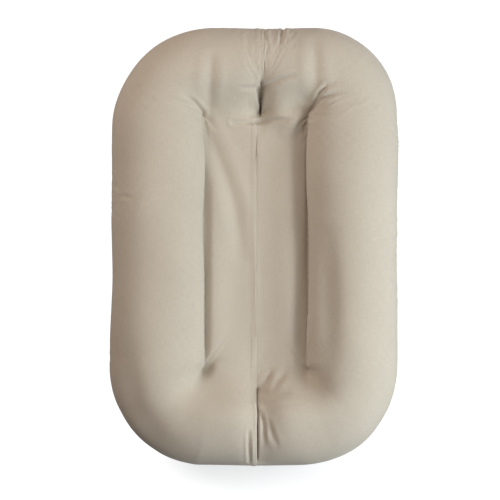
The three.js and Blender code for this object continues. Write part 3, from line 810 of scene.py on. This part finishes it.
def lay_flat(thing, flat):
    """Writes the UV map, with one place for each point or one for each point of the upper face."""
    mesh = thing.data
    layer = mesh.uv_layers.new(name="Cloth")
    corners = np.empty(len(mesh.loops), int)
    mesh.loops.foreach_get("vertex_index", corners)
    layer.data.foreach_set("uv", flat[corners % len(flat)].ravel())


def strip(name, box, counts, height, thickness):
    """A strip of cloth over a box's plan, in mm, from a function for the height of its lower face."""
    grid = np.zeros((*counts, 3))
    grid[..., 0] = np.linspace(box[0][0], box[1][0], counts[0])[:, None]
    grid[..., 1] = np.linspace(box[0][1], box[1][1], counts[1])
    grid[..., 2] = height(grid[..., 0], grid[..., 1])
    points = grid.reshape(-1, 3)
    faces = panel_faces(*counts)[:, ::-1]
    return thick_sheet(name, points, faces, np.array([[0.0, 0, 1]]), thickness, points[:, :2] * MM)


def dressed(thing, material, part=None):
    """Gives a piece its material in its one slot, and hides the CAD node that it stands for."""
    thing.data.materials.clear()
    thing.data.materials.append(material)
    if part:
        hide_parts(part)
    return thing


# Materials ---------------------------------------------------------------------------------


def node(material, kind, inputs=None, **settings):
    """Adds a shader node. Each input is a constant, or a node or one of its outputs to link from."""
    tree = material.node_tree
    added = tree.nodes.new("ShaderNode" + kind)
    for name, value in settings.items():
        setattr(added, name, value)
    for name, value in (inputs or {}).items():
        if isinstance(value, (bpy.types.Node, bpy.types.NodeSocket)):
            tree.links.new(getattr(value, "outputs", [value])[0], added.inputs[name])
        else:
            added.inputs[name].default_value = value
    return added


def surface(name):
    """A material with no nodes yet."""
    material = bpy.data.materials.new(name)
    material.use_nodes = True
    material.node_tree.nodes.clear()
    return material


def woven(name, tint, thread, depth, roughness, sheen, slub, mottle):
    """A woven cloth: threads both ways at an even spacing, slubs along them and a soft uneven dye."""
    material = surface(name)
    flat = node(material, "UVMap", uv_map="Cloth")
    band = 2 * np.pi / 20 / thread  # a wave texture's scale for one band per thread
    wave = {"Vector": flat, "Scale": band, "Distortion": 1.2, "Detail": 1, "Detail Scale": 0.6}
    threads, slubs, tones = [], [], []
    for way, stretch in (("X", (1, 0.12, 1)), ("Y", (0.12, 1, 1))):
        threads.append(node(material, "TexWave", wave, bands_direction=way).outputs["Fac"])
        drawn = node(material, "Mapping", {"Vector": flat, "Scale": stretch})
        grain = {"Vector": drawn, "Scale": 620, "Detail": 3, "Roughness": 0.6}
        slubs.append(node(material, "TexNoise", grain))
    cross = node(material, "Math", dict(enumerate(threads)), operation="MULTIPLY")
    both = node(material, "Math", dict(enumerate(slubs)), operation="ADD")
    place = node(material, "TexCoord").outputs["Object"]
    patches = node(material, "TexNoise", {"Vector": place, "Scale": 9, "Detail": 3, "Roughness": 0.55})
    for value, low, high, share in ((both, 0.7, 1.3, slub), (patches, 0.3, 0.7, mottle)):
        levels = {"From Min": low, "From Max": high, "To Min": 1 - share, "To Max": 1 + share}
        tones.append(node(material, "MapRange", {"Value": value, **levels}))
    tone = node(material, "Math", dict(enumerate(tones)), operation="MULTIPLY")
    dyed = node(material, "VectorMath", {0: tint[:3], "Scale": tone}, operation="SCALE")
    height = node(material, "Math", {0: both, 1: 0.5, 2: cross}, operation="MULTIPLY_ADD")
    bump = node(material, "Bump", {"Strength": 0.5, "Distance": depth, "Height": height})
    look = {"Base Color": dyed, "Normal": bump, "Roughness": roughness, "Sheen Weight": sheen}
    matt = {"Sheen Roughness": 0.5, "Specular IOR Level": 0.2}
    shader = node(material, "BsdfPrincipled", {**look, **matt})
    node(material, "OutputMaterial", {"Surface": shader})
    return material


def nickel(tint):
    """Dull nickel plate, tumbled: a soft metal shine, with fine scratches where hands have rubbed it."""
    material = surface("tumbled_nickel")
    place = node(material, "TexCoord").outputs["Object"]
    drawn = node(material, "Mapping", {"Vector": place, "Scale": (1, 0.1, 1)})
    scratch = node(material, "TexNoise", {"Vector": drawn, "Scale": 2500, "Detail": 3})
    rough = node(material, "MapRange", {"Value": scratch, "To Min": 0.3, "To Max": 0.48})
    bump = node(material, "Bump", {"Strength": 0.2, "Distance": 0.00003, "Height": scratch})
    look = {"Base Color": tint, "Metallic": 1, "Roughness": rough, "Normal": bump}
    node(material, "OutputMaterial", {"Surface": node(material, "BsdfPrincipled", look)})
    return material


def nylon(tint):
    """Drawn nylon monofilament: smooth, slightly waxy and a little uneven in its dye."""
    material = surface("drawn_nylon")
    place = node(material, "TexCoord").outputs["Object"]
    uneven = node(material, "TexNoise", {"Vector": place, "Scale": 400, "Detail": 2})
    tone = node(material, "MapRange", {"Value": uneven, "To Min": 0.9, "To Max": 1.1})
    dyed = node(material, "VectorMath", {0: tint[:3], "Scale": tone}, operation="SCALE")
    look = {"Base Color": dyed, "Roughness": 0.38, "IOR": 1.53}
    waxy = {"Subsurface Weight": 0.05, "Subsurface Scale": 0.001}
    node(material, "OutputMaterial", {"Surface": node(material, "BsdfPrincipled", {**look, **waxy})})
    return material


def fibre(tint):
    """Loose hollow polyester fibre: white, matt and lumpy, with fine tangled strands."""
    material = surface("hollow_fibre")
    place = node(material, "TexCoord").outputs["Object"]
    lumps = node(material, "TexNoise", {"Vector": place, "Scale": 45, "Detail": 6, "Roughness": 0.7})
    tangle = {"Vector": place, "Scale": 700, "Detail": 4, "Distortion": 2.5}
    strands = node(material, "TexNoise", tangle)
    height = node(material, "Math", {0: strands, 1: 0.3, 2: lumps}, operation="MULTIPLY_ADD")
    tone = node(material, "MapRange", {"Value": lumps, "To Min": 0.9, "To Max": 1.05})
    white = node(material, "VectorMath", {0: tint[:3], "Scale": tone}, operation="SCALE")
    bump = node(material, "Bump", {"Strength": 0.7, "Distance": 0.002, "Height": height})
    look = {"Base Color": white, "Normal": bump, "Roughness": 0.95, "Sheen Weight": 0.3}
    node(material, "OutputMaterial", {"Surface": node(material, "BsdfPrincipled", look)})
    return material


# Operators ---------------------------------------------------------------------------------

SEAM_ALLOWANCE = 7  # mm of cloth pressed to the left under the centre seam
SEAM_STEP = 0.7  # how far it lifts the cover
SEAM_VALLEY = 0.25  # depth of the centre seam
SIDE_SEAM_VALLEY = {"depth": 1.4, "width": 1.4}
ZIP_ROWS = 15  # from the zip's opening to the channel seam
ZIP_GAP, CLOSED_GAP = 6, 0.2  # from the middle to the cloth, beside the zip and past its ends
ZIP_END, ZIP_TAPER = 190, 10  # where the opening starts to close, and over how much
OPENING_END = 8  # from the channel seam's end to where the cloth of the opening ends
SEAM_PUCKER = {"height": 0.3, "beat": 1.9, "fade": 5}
AT_ONCE = 200  # points of an edge, to keep the tables of distances small


def seam_distance(points, edge):
    """Distance of each point to the nearest point of an edge, and that point's number."""
    best = np.full(len(points), 1e9)
    which = np.zeros(len(points), int)
    for start in range(0, len(edge), AT_ONCE):
        part = edge[start : start + AT_ONCE]
        squares = (points**2).sum(1)[:, None] + (part**2).sum(1)[None] - 2 * points @ part.T
        near = np.sqrt(np.maximum(squares, 0))
        nearest = near.argmin(axis=1)
        value = near[np.arange(len(points)), nearest]
        closer = value < best
        best = np.where(closer, value, best)
        which = np.where(closer, nearest + start, which)
    return best, which


def side_seam(points, edge, across):
    """How deep each point lies in the valley of the side seam, whose points are one to a column."""
    away = np.linalg.norm(points - np.repeat(edge, across, axis=0), axis=1)
    return SIDE_SEAM_VALLEY["depth"] * bell(away, SIDE_SEAM_VALLEY["width"])


class LOUNGER_OT_cover(bpy.types.Operator):
    """Make the four panels of the cover"""

    bl_idname = "lounger.cover"
    bl_label = "Cover"

    def execute(self, context):
        size, tints = context.scene.lounger_form, context.scene.lounger_cloth
        form = stuffed(size)
        fine, rows = form["fine"], form["rows"]
        half = len(fine) // 2
        seam = at_row(rows, SIDE_SEAM_ROW)
        normals = grid_normals(fine)
        normals[:, -1] = normals[:, -2]
        flat = developed(fine, at_row(rows, CREST_ROW))
        # Plain woven cotton in warm oatmeal, washed: matt, with a faint bloom and slubs along its
        # threads. Real ones are 0.4 mm apart, too fine to show from a metre away, so these are 1.1 mm.
        cotton = woven("washed_woven_cotton", tints.cover, 1.1 * MM, 0.2 * MM, 0.92, 0.3, 0.06, 0.03)
        sides = {"right": np.arange(half + 1), "left": np.r_[half : len(fine), 0]}
        for side, picked in sides.items():
            top = fine[picked, seam:]
            count, across = top.shape[:2]
            points = top.reshape(-1, 3)
            edge = np.concatenate([top[0], top[1:-1, -1], top[-1]])
            away, which = seam_distance(points, edge)
            lap = 1 - smooth((away - SEAM_ALLOWANCE) / 3)
            step = SEAM_STEP * lap * (1 - bell(away, 1.1)) if side == "left" else 0
            pucker = SEAM_PUCKER["height"] * np.sin(which * SEAM_PUCKER["beat"])
            pucker = pucker * np.exp(-away / SEAM_PUCKER["fade"])
            sink = SEAM_VALLEY * bell(away, 0.7) + side_seam(points, top[:, 0], across)
            outward = normals[picked, seam:].reshape(-1, 3)
            thing = thick_sheet(
                f"cover_top_{side}_panel", points + outward * (step + pucker - sink)[:, None],
                panel_faces(count, across), -outward, size.cloth / MM,
                flat[picked, seam:].reshape(-1, 2),
            )
            dressed(thing, cotton, f"cover_top_{side}")
        for side, picked in sides.items():
            lower = fine[picked, : seam + 1]
            sign = 1 if side == "right" else -1
            inner = lower[:, 0]
            foot, head = inner[:, 1].min(), inner[:, 1].max()
            gap_y = np.clip(inner[:, 1], foot + OPENING_END, head - OPENING_END)
            closed = smooth((np.abs(gap_y) - ZIP_END) / ZIP_TAPER)
            zip_x = sign * mix(ZIP_GAP, CLOSED_GAP, closed)
            share = np.linspace(0, 1, ZIP_ROWS + 1)[None, :-1, None]
            zip_edge = np.stack([zip_x, gap_y, np.full(len(lower), UNDERSIDE)], axis=1)
            middle = mix(zip_edge[:, None], inner[:, None], share)
            middle[..., 2] = UNDERSIDE
            whole = np.concatenate([middle, lower], axis=1)
            count, across = whole.shape[:2]
            points = whole.reshape(-1, 3)
            down = np.tile([0.0, 0, -1], (count, ZIP_ROWS, 1))
            down = np.concatenate([down, normals[picked, : seam + 1]], axis=1).reshape(-1, 3)
            points = points - down * side_seam(points, lower[:, -1], across)[:, None]
            points[:, 2] = np.maximum(points[:, 2], 0)
            thing = thick_sheet(
                f"cover_bottom_{side}_panel", points, panel_faces(count, across), -down,
                size.cloth / MM, developed(whole, ZIP_ROWS + ROWS_UNDER * 2 - 2).reshape(-1, 2),
            )
            dressed(thing, cotton, f"cover_bottom_{side}")
        return {"FINISHED"}


BROAD = 5  # creases of a larger half width than this fold the insert too
INSERT_WELL = {"depth": 26, "width": 15, "floor": 20}  # where the insert makes way for the slits
COVER_GAP = 0.8  # between the cover and the casing
CASING_FLOOR, STUFFING_FLOOR = 1.6, 2.9  # the least heights of the casing and the stuffing
STUFFING_GAP = 0.4  # between the casing and the stuffing
FOLD_REACH = 18  # how far from a crease of the cover the insert stands back from it


class LOUNGER_OT_insert(bpy.types.Operator):
    """Make the stuffed ring, its casing and the sling across it"""

    bl_idname = "lounger.insert"
    bl_label = "Insert"

    def execute(self, context):
        size, tints = context.scene.lounger_form, context.scene.lounger_cloth
        ring = stuffed(size)["ring"].copy()
        columns = len(ring)
        normals = unit(eased(grid_normals(ring), 2))
        ring = pressed(ring, normals, [crease for crease in CREASES if crease[2] > BROAD], 0)
        for slit in (HEAD_SLIT, FOOT_SLIT):
            well = INSERT_WELL["depth"] * bell(slit_distance(ring, slit), INSERT_WELL["width"])
            well[:, :SIDE_SEAM_ROW] = 0
            lowered = np.maximum(ring[..., 2] - well, INSERT_WELL["floor"])
            ring[..., 2] = np.where(well > 0.1, lowered, ring[..., 2])
        folds = np.zeros(ring.shape[:2])
        for path, depth, _ in CREASES:
            for spot in np.array(path, float):
                away = np.linalg.norm(ring[..., :2] - spot, axis=2)
                folds = np.maximum(folds, depth * bell(away, FOLD_REACH))
        inset = (size.cloth / MM + COVER_GAP + folds)[..., None]
        casing = ring - normals * inset
        casing[..., 2] = np.maximum(casing[..., 2], CASING_FLOOR)
        # Unbleached lining: a thin plain weave with flecks of seed, creased where it is drawn in.
        lining = woven("unbleached_lining", tints.casing, 0.9 * MM, 0.15 * MM, 0.9, 0.1, 0.06, 0.03)
        flat = developed(ring, CREST_ROW)
        bands = {
            "top": (SIDE_SEAM_ROW, CHANNEL_ROW, (0.7, 0.95), 0.41),
            "bottom": (0, SIDE_SEAM_ROW, (0.56, 0.8), 0.29),
        }
        for name, (first, last, cut, area) in bands.items():
            span = slice(first, last + 1)
            points = casing[:, span].reshape(-1, 3)
            thing = thick_sheet(
                f"ring_casing_{name}_shell", points, panel_faces(columns, last - first + 1, True),
                -normals[:, span].reshape(-1, 3), size.lining / MM, flat[:, span].reshape(-1, 2),
            )
            dressed(thing, lining, f"ring_casing_{name}")

        within = slice(0, CHANNEL_ROW + 1)
        core = casing[:, within] - normals[:, within] * (size.lining / MM + STUFFING_GAP)
        core[..., 2] = np.maximum(core[..., 2], STUFFING_FLOOR)
        across = CHANNEL_ROW + 1
        i = np.arange(columns) * across
        k = np.roll(i, -1)
        closing = np.stack([i + CHANNEL_ROW, k + CHANNEL_ROW, k, i], axis=1)
        faces = np.concatenate([panel_faces(columns, across, True), closing])
        thing = piece("ring_stuffing", core.reshape(-1, 3), faces)
        dressed(thing, fibre(tints.fibre), "fill_ring")

        span = slice(CHANNEL_ROW, SPINE_ROW + 1)
        sling = (ring - normals * inset)[:, span]
        used, faces = np.unique(joined(*sling.shape[:2])[1], return_inverse=True)
        faces = faces.reshape(-1, 4)
        # Unbleached canvas: a firm plain weave in thick yarns.
        canvas = woven("unbleached_canvas", tints.canvas, 1.4 * MM, 0.35 * MM, 0.9, 0.08, 0.08, 0.03)
        points = sling.reshape(-1, 3)[used]
        thing = thick_sheet(
            "sling_shell", points, faces, -normals[:, span].reshape(-1, 3)[used], size.canvas / MM,
            points[:, :2] * MM,
        )
        dressed(thing, canvas, "sling_panel")
        return {"FINISHED"}


COIL_PITCH = 1.5  # mm from one turn to the next
COIL_OVERLAP = 0.45  # mm that the turns of one side reach past the middle between those of the other
COIL_WIRE = 0.27  # radius
COIL_LEAN = math.radians(9)
TAPE_CLOTH, RIBBON_CLOTH = 0.55, 0.4  # thicknesses in mm
TAPE_GRID, RIBBON_GRID = (9, 203), (31, 19)  # points across and along
TAPE_LIFT = 0.13  # above the lowest point of the tape's box
TAPE_WAVE, TAPE_BEAT = 0.12, 17  # how far the tape's outer edge waves, and how quickly
TAPE_INNER, TAPE_WIDTH = 1.4, 13.6  # from the zip's middle to the tape, and across the tape
COIL_START = 0.9  # from the row's foot end to the middle of its first turn
STOP_EDGE, CAST_EDGE, STITCH_EDGE = 0.35, 0.14, 0.12  # how far the edges are rounded
STITCH_LENGTH = 2.6
STITCH_PITCH = 3.4
STITCH_RADIUS = 0.28
STITCH_SUNK = 0.05
STITCH_AWAY = 8.6  # from the middle of the zip
STITCH_REACH = 186  # from the lounger's middle to each end of the stitching


def start_shape(kind, **settings):
    """Adds a primitive with nothing else selected."""
    bpy.ops.object.select_all(action="DESELECT")
    getattr(bpy.ops.mesh, kind)(**settings)
    return bpy.context.object


def settle(thing, name, body):
    """Applies the object's place, names it and gives it its body."""
    bpy.ops.object.select_all(action="DESELECT")
    thing.select_set(True)
    bpy.context.view_layer.objects.active = thing
    bpy.ops.object.transform_apply(location=True, rotation=True, scale=True)
    bpy.ops.object.shade_smooth_by_angle(angle=math.radians(35))
    thing.name = thing.data.name = name
    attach(thing, body)
    return thing


def repeat(thing, count, step):
    """Copies a finished shape along +Y."""
    array = thing.modifiers.new("repeat", "ARRAY")
    array.count = count
    array.use_relative_offset = False
    array.use_constant_offset = True
    array.constant_offset_displace = (0, step, 0)
    bpy.context.view_layer.objects.active = thing
    bpy.ops.object.modifier_apply(modifier=array.name)


def reshape_all():
    """Opens the active shape's mesh with all of it selected."""
    bpy.ops.object.mode_set(mode="EDIT")
    bpy.ops.mesh.select_all(action="SELECT")


def round_edges(width, segments):
    """Bevels every edge of the active shape."""
    reshape_all()
    bpy.ops.mesh.bevel(offset=width, segments=segments, affect="EDGES")
    bpy.ops.mesh.select_all(action="DESELECT")
    bpy.ops.object.mode_set(mode="OBJECT")


def crimped_block(low, high):
    """A metal stop: a block with rounded edges and a groove pressed into its underside."""
    middle = (low + high) / 2
    size = high - low
    block = start_shape("primitive_cube_add", size=1, location=middle, scale=size)
    bpy.ops.object.transform_apply(location=False, rotation=False, scale=True)
    round_edges(STOP_EDGE * MM, 3)
    for face in block.data.polygons:
        face.select = face.normal.z < -0.99
    bpy.ops.object.mode_set(mode="EDIT")
    bpy.ops.mesh.inset(thickness=size.y * 0.18, depth=-STOP_EDGE * MM)
    bpy.ops.object.mode_set(mode="OBJECT")
    return block


def softened(node_name, name, body, width):
    """A copy of a hard CAD node with its doubles merged and its edges rounded."""
    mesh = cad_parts[node_name].data.copy()
    shape = bmesh.new()
    shape.from_mesh(mesh)
    bmesh.ops.remove_doubles(shape, verts=shape.verts, dist=0.001 * MM)
    bmesh.ops.dissolve_limit(shape, angle_limit=math.radians(1), verts=shape.verts, edges=shape.edges)
    shape.to_mesh(mesh)
    shape.free()
    thing = placed(name, mesh)
    bpy.context.view_layer.objects.active = thing
    bevel = thing.modifiers.new("rounded", "BEVEL")
    bevel.width = width
    bevel.segments = 2
    bevel.limit_method = "ANGLE"
    bevel.angle_limit = math.radians(40)
    bpy.ops.object.modifier_apply(modifier=bevel.name)
    return settle(thing, name, body)


class LOUNGER_OT_zip(bpy.types.Operator):
    """Make the zip along the underside, with its stitching"""

    bl_idname = "lounger.zip"
    bl_label = "Zip"

    def execute(self, context):
        tints = context.scene.lounger_cloth
        # Woven polyester tape: a tight twill of fine yarns with a slight shine.
        twill = woven("woven_zip_tape", tints.tape, 0.7 * MM, 0.12 * MM, 0.75, 0.1, 0.04, 0.02)
        wire = nylon(tints.nylon)
        plate = nickel(tints.metal)
        # Spun polyester thread, a little lighter than the cloth it sews.
        thread = woven("spun_thread", tints.tape, 0.3 * MM, 0.05 * MM, 0.7, 0.2, 0.05, 0.02)
        for side, sign in (("left", -1), ("right", 1)):
            box = [np.array(corner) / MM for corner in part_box(f"zip_tape_{side}")]

            def waved(x, y):
                wave = TAPE_WAVE * np.sin(y / TAPE_BEAT)
                return box[0][2] + TAPE_LIFT + wave * (np.abs(x) - TAPE_INNER) / TAPE_WIDTH

            thing = strip(f"zip_tape_{side}_strip", box, TAPE_GRID, waved, TAPE_CLOTH)
            dressed(thing, twill, f"zip_tape_{side}")

            low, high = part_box(f"zip_coil_{side}")
            inner = -sign * COIL_OVERLAP * MM
            outer = (high if sign > 0 else low).x
            half = abs(outer - inner) / 2
            tall = (high.z - low.z) / 2
            start = low.y + (COIL_START if sign > 0 else COIL_START + COIL_PITCH / 2) * MM
            turn = start_shape(
                "primitive_torus_add", rotation=(HALF, 0, 0), major_segments=14, minor_segments=6,
                major_radius=tall - COIL_WIRE * MM, minor_radius=COIL_WIRE * MM,
                location=((inner + outer) / 2, start, (low.z + high.z) / 2),
            )
            reshape_all()
            bpy.ops.transform.resize(value=(half / tall, 1, 1), center_override=turn.location)
            bpy.ops.transform.rotate(
                value=sign * COIL_LEAN, orient_axis="Z", center_override=turn.location
            )
            bpy.ops.object.mode_set(mode="OBJECT")
            settle(turn, f"zip_coil_{side}_turns", "cushion")
            repeat(turn, int((high.y - start) / (COIL_PITCH * MM)), COIL_PITCH * MM)
            dressed(turn, wire, f"zip_coil_{side}")

            stop = crimped_block(*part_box(f"zip_head_stop_{side}"))
            settle(stop, f"zip_head_stop_{side}_crimp", "cushion")
            dressed(stop, plate, f"zip_head_stop_{side}")

            stitch = start_shape(
                "primitive_cylinder_add", vertices=8, radius=STITCH_RADIUS * MM,
                depth=STITCH_LENGTH * MM, rotation=(HALF, 0, 0),
                location=(sign * STITCH_AWAY * MM, -STITCH_REACH * MM, (UNDERSIDE - STITCH_SUNK) * MM),
            )
            round_edges(STITCH_EDGE * MM, 2)
            settle(stitch, f"zip_stitches_{side}", "cushion")
            repeat(stitch, int(2 * STITCH_REACH / STITCH_PITCH), STITCH_PITCH * MM)
            lay_flat(stitch, np.array([list(v.co)[:2] for v in stitch.data.vertices]))
            dressed(stitch, thread)
        stop = settle(crimped_block(*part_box("zip_foot_stop")), "zip_foot_stop_crimp", "cushion")
        dressed(stop, plate, "zip_foot_stop")
        for part, body in (("zip_slider", "slider"), ("zip_pull", "pull")):
            thing = softened(part, f"{part}_cast", body, CAST_EDGE * MM)
            dressed(thing, plate, part)
        return {"FINISHED"}


RIBBON_SUNK = 0.55  # below the top of the label's box, at its sewn edge
RIBBON_HANG = 1.1  # how far its free edge hangs
RIBBON_WAVE, RIBBON_BEAT = 0.35, 5  # how much of that it waves by, and how quickly


class LOUNGER_OT_label(bpy.types.Operator):
    """Make the blank care label under the zip"""

    bl_idname = "lounger.label"
    bl_label = "Care label"

    def execute(self, context):
        tints = context.scene.lounger_cloth
        # Satin ribbon: smooth, with a soft shine along its length. It is left blank.
        satin = woven("satin_ribbon", tints.label, 0.5 * MM, 0.05 * MM, 0.45, 0.15, 0.02, 0.01)
        low, high = (np.array(corner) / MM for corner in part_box("care_label"))

        def height(x, y):
            free = smooth((high[0] - x) / (high[0] - low[0]))
            wave = 1 + RIBBON_WAVE * np.sin(y / RIBBON_BEAT)
            return high[2] - RIBBON_SUNK - RIBBON_HANG * free**2 * wave

        thing = strip("care_label_ribbon", (low, high), RIBBON_GRID, height, RIBBON_CLOTH)
        dressed(thing, satin, "care_label")
        return {"FINISHED"}


FLOOR_REACH = 6  # metres from the middle to each side
LAMP_DISTANCE = 1.95
LAMP_AIM = Vector((0, 0, 0.05))
CAMERA_AIM = Vector((-0.0085, -0.0095, 0.05))
# Each soft lamp's turn from the right towards the head and rise above the floor in degrees, width in
# metres and tint
LAMPS = {
    "key": (0, 31, 0.7, (0.92, 1.015, 1.06)),
    "side": (-37, 33, 0.8, (0.92, 1.015, 1.06)),
    "fill": (126, 60, 1.2, (1.09, 0.99, 0.9)),
    "edge": (134, 28, 0.9, (1.12, 0.975, 0.9)),
}


def white_paper(tint):
    """A sweep of white paper, which throws back light of the given tint on to the lounger.

    To the camera it glows up to plain white, less so past the foot end, where the shadow lies.
    """
    material = surface("white_paper_sweep")
    rays = node(material, "LightPath").outputs
    seen = rays["Is Camera Ray"]
    for ray in ("Is Glossy Ray", "Is Transmission Ray"):
        seen = node(material, "Math", {0: seen, 1: rays[ray]}, operation="MAXIMUM")
    place = node(material, "TexCoord").outputs["Object"]
    foot = {"Location": (0, 0.37, 0), "Scale": (0.42, 1, 1)}
    near = node(material, "Mapping", {"Vector": place, **foot})
    away = node(material, "VectorMath", {0: near}, operation="LENGTH").outputs["Value"]
    levels = {"From Min": 0.03, "From Max": 0.09, "To Min": 0.55, "To Max": 0.95}
    share = node(material, "MapRange", {"Value": away, **levels}, interpolation_type="SMOOTHSTEP")
    bounce = node(material, "BsdfDiffuse", {"Color": tint})
    paper = node(material, "BsdfDiffuse", {"Color": (0.93, 0.93, 0.93, 1)})
    glow = node(material, "Emission", {"Color": (1, 1, 1, 1), "Strength": 1.15})
    lit = node(material, "MixShader", {"Fac": share, 1: paper, 2: glow})
    shown = node(material, "MixShader", {"Fac": seen, 1: bounce, 2: lit})
    node(material, "OutputMaterial", {"Surface": shown})
    return material


class LOUNGER_OT_stage(bpy.types.Operator):
    """Make the floor, lights and camera"""

    bl_idname = "lounger.stage"
    bl_label = "Stage"

    def execute(self, context):
        scene, tints, stage = context.scene, context.scene.lounger_cloth, context.scene.lounger_stage
        mesh = bpy.data.meshes.new("studio_floor")
        signs = ((-1, -1), (1, -1), (1, 1), (-1, 1))
        corners = [(x * FLOOR_REACH, y * FLOOR_REACH, 0) for x, y in signs]
        mesh.from_pydata(corners, [], [(0, 1, 2, 3)])
        mesh.materials.append(white_paper(tints.floor))
        placed("studio_floor", mesh)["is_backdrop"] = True

        world = bpy.data.worlds.new("studio")
        scene.world = world
        world.use_nodes = True
        world.node_tree.nodes.clear()
        seen = node(world, "LightPath").outputs["Is Camera Ray"]
        light = node(world, "Background", {"Color": (1.3, 0.94, 0.82, 1), "Strength": stage.around})
        white = node(world, "Background", {"Color": (1, 1, 1, 1), "Strength": 1})
        shown = node(world, "MixShader", {"Fac": seen, 1: light, 2: white})
        node(world, "OutputWorld", {"Surface": shown})

        for name, (turn, rise, width, tint) in LAMPS.items():
            lamp = bpy.data.lights.new(name, "AREA")
            lamp.energy = getattr(stage, name)
            lamp.size = width
            lamp.color = tint
            turn, rise = math.radians(turn), math.radians(rise)
            flat = math.cos(rise)
            out = Vector((flat * math.cos(turn), flat * math.sin(turn), math.sin(rise)))
            holder = placed(name, lamp)
            holder.location = LAMP_AIM + out * LAMP_DISTANCE
            holder.rotation_euler = (-out).to_track_quat("-Z", "Y").to_euler()

        camera = placed("camera", bpy.data.cameras.new("camera"))
        camera.data.lens = stage.lens
        above = math.radians(stage.elevation)
        back = Vector((0, -math.cos(above), math.sin(above)))
        camera.location = CAMERA_AIM + back * stage.distance
        camera.rotation_euler = (-back).to_track_quat("-Z", "Y").to_euler()
        scene.camera = camera
        scene.view_settings.view_transform = "Standard"
        return {"FINISHED"}


class LOUNGER_PT_panel(bpy.types.Panel):
    """Sizes, colours and steps of the lounger"""

    bl_label = "Infant lounger"
    bl_idname = "LOUNGER_PT_panel"
    bl_space_type = "VIEW_3D"
    bl_region_type = "UI"
    bl_category = "Lounger"

    def draw(self, context):
        for group in GROUPS:
            values = getattr(context.scene, group)
            for name in values.__annotations__:
                self.layout.prop(values, name)
        for step in STEPS:
            self.layout.operator(step.bl_idname)


GROUPS = {"lounger_form": LoungerForm, "lounger_cloth": LoungerCloth, "lounger_stage": LoungerStage}
STEPS = (LOUNGER_OT_cover, LOUNGER_OT_insert, LOUNGER_OT_zip, LOUNGER_OT_label, LOUNGER_OT_stage)
CLASSES = (*GROUPS.values(), *STEPS, LOUNGER_PT_panel)


def register():
    for item in CLASSES:
        bpy.utils.register_class(item)
    for name, group in GROUPS.items():
        setattr(bpy.types.Scene, name, PointerProperty(type=group))


def unregister():
    for name in GROUPS:
        delattr(bpy.types.Scene, name)
    for item in reversed(CLASSES):
        bpy.utils.unregister_class(item)


def main():
    register()
    bpy.ops.lounger.cover()
    bpy.ops.lounger.insert()
    bpy.ops.lounger.zip()
    bpy.ops.lounger.label()
    bpy.ops.lounger.stage()
    boxes = {"cad": CAD_BOX, "visual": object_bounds()}
    {name: [list(corner) for corner in box] for name, box in boxes.items()}


if __name__ == "__main__":
    main()
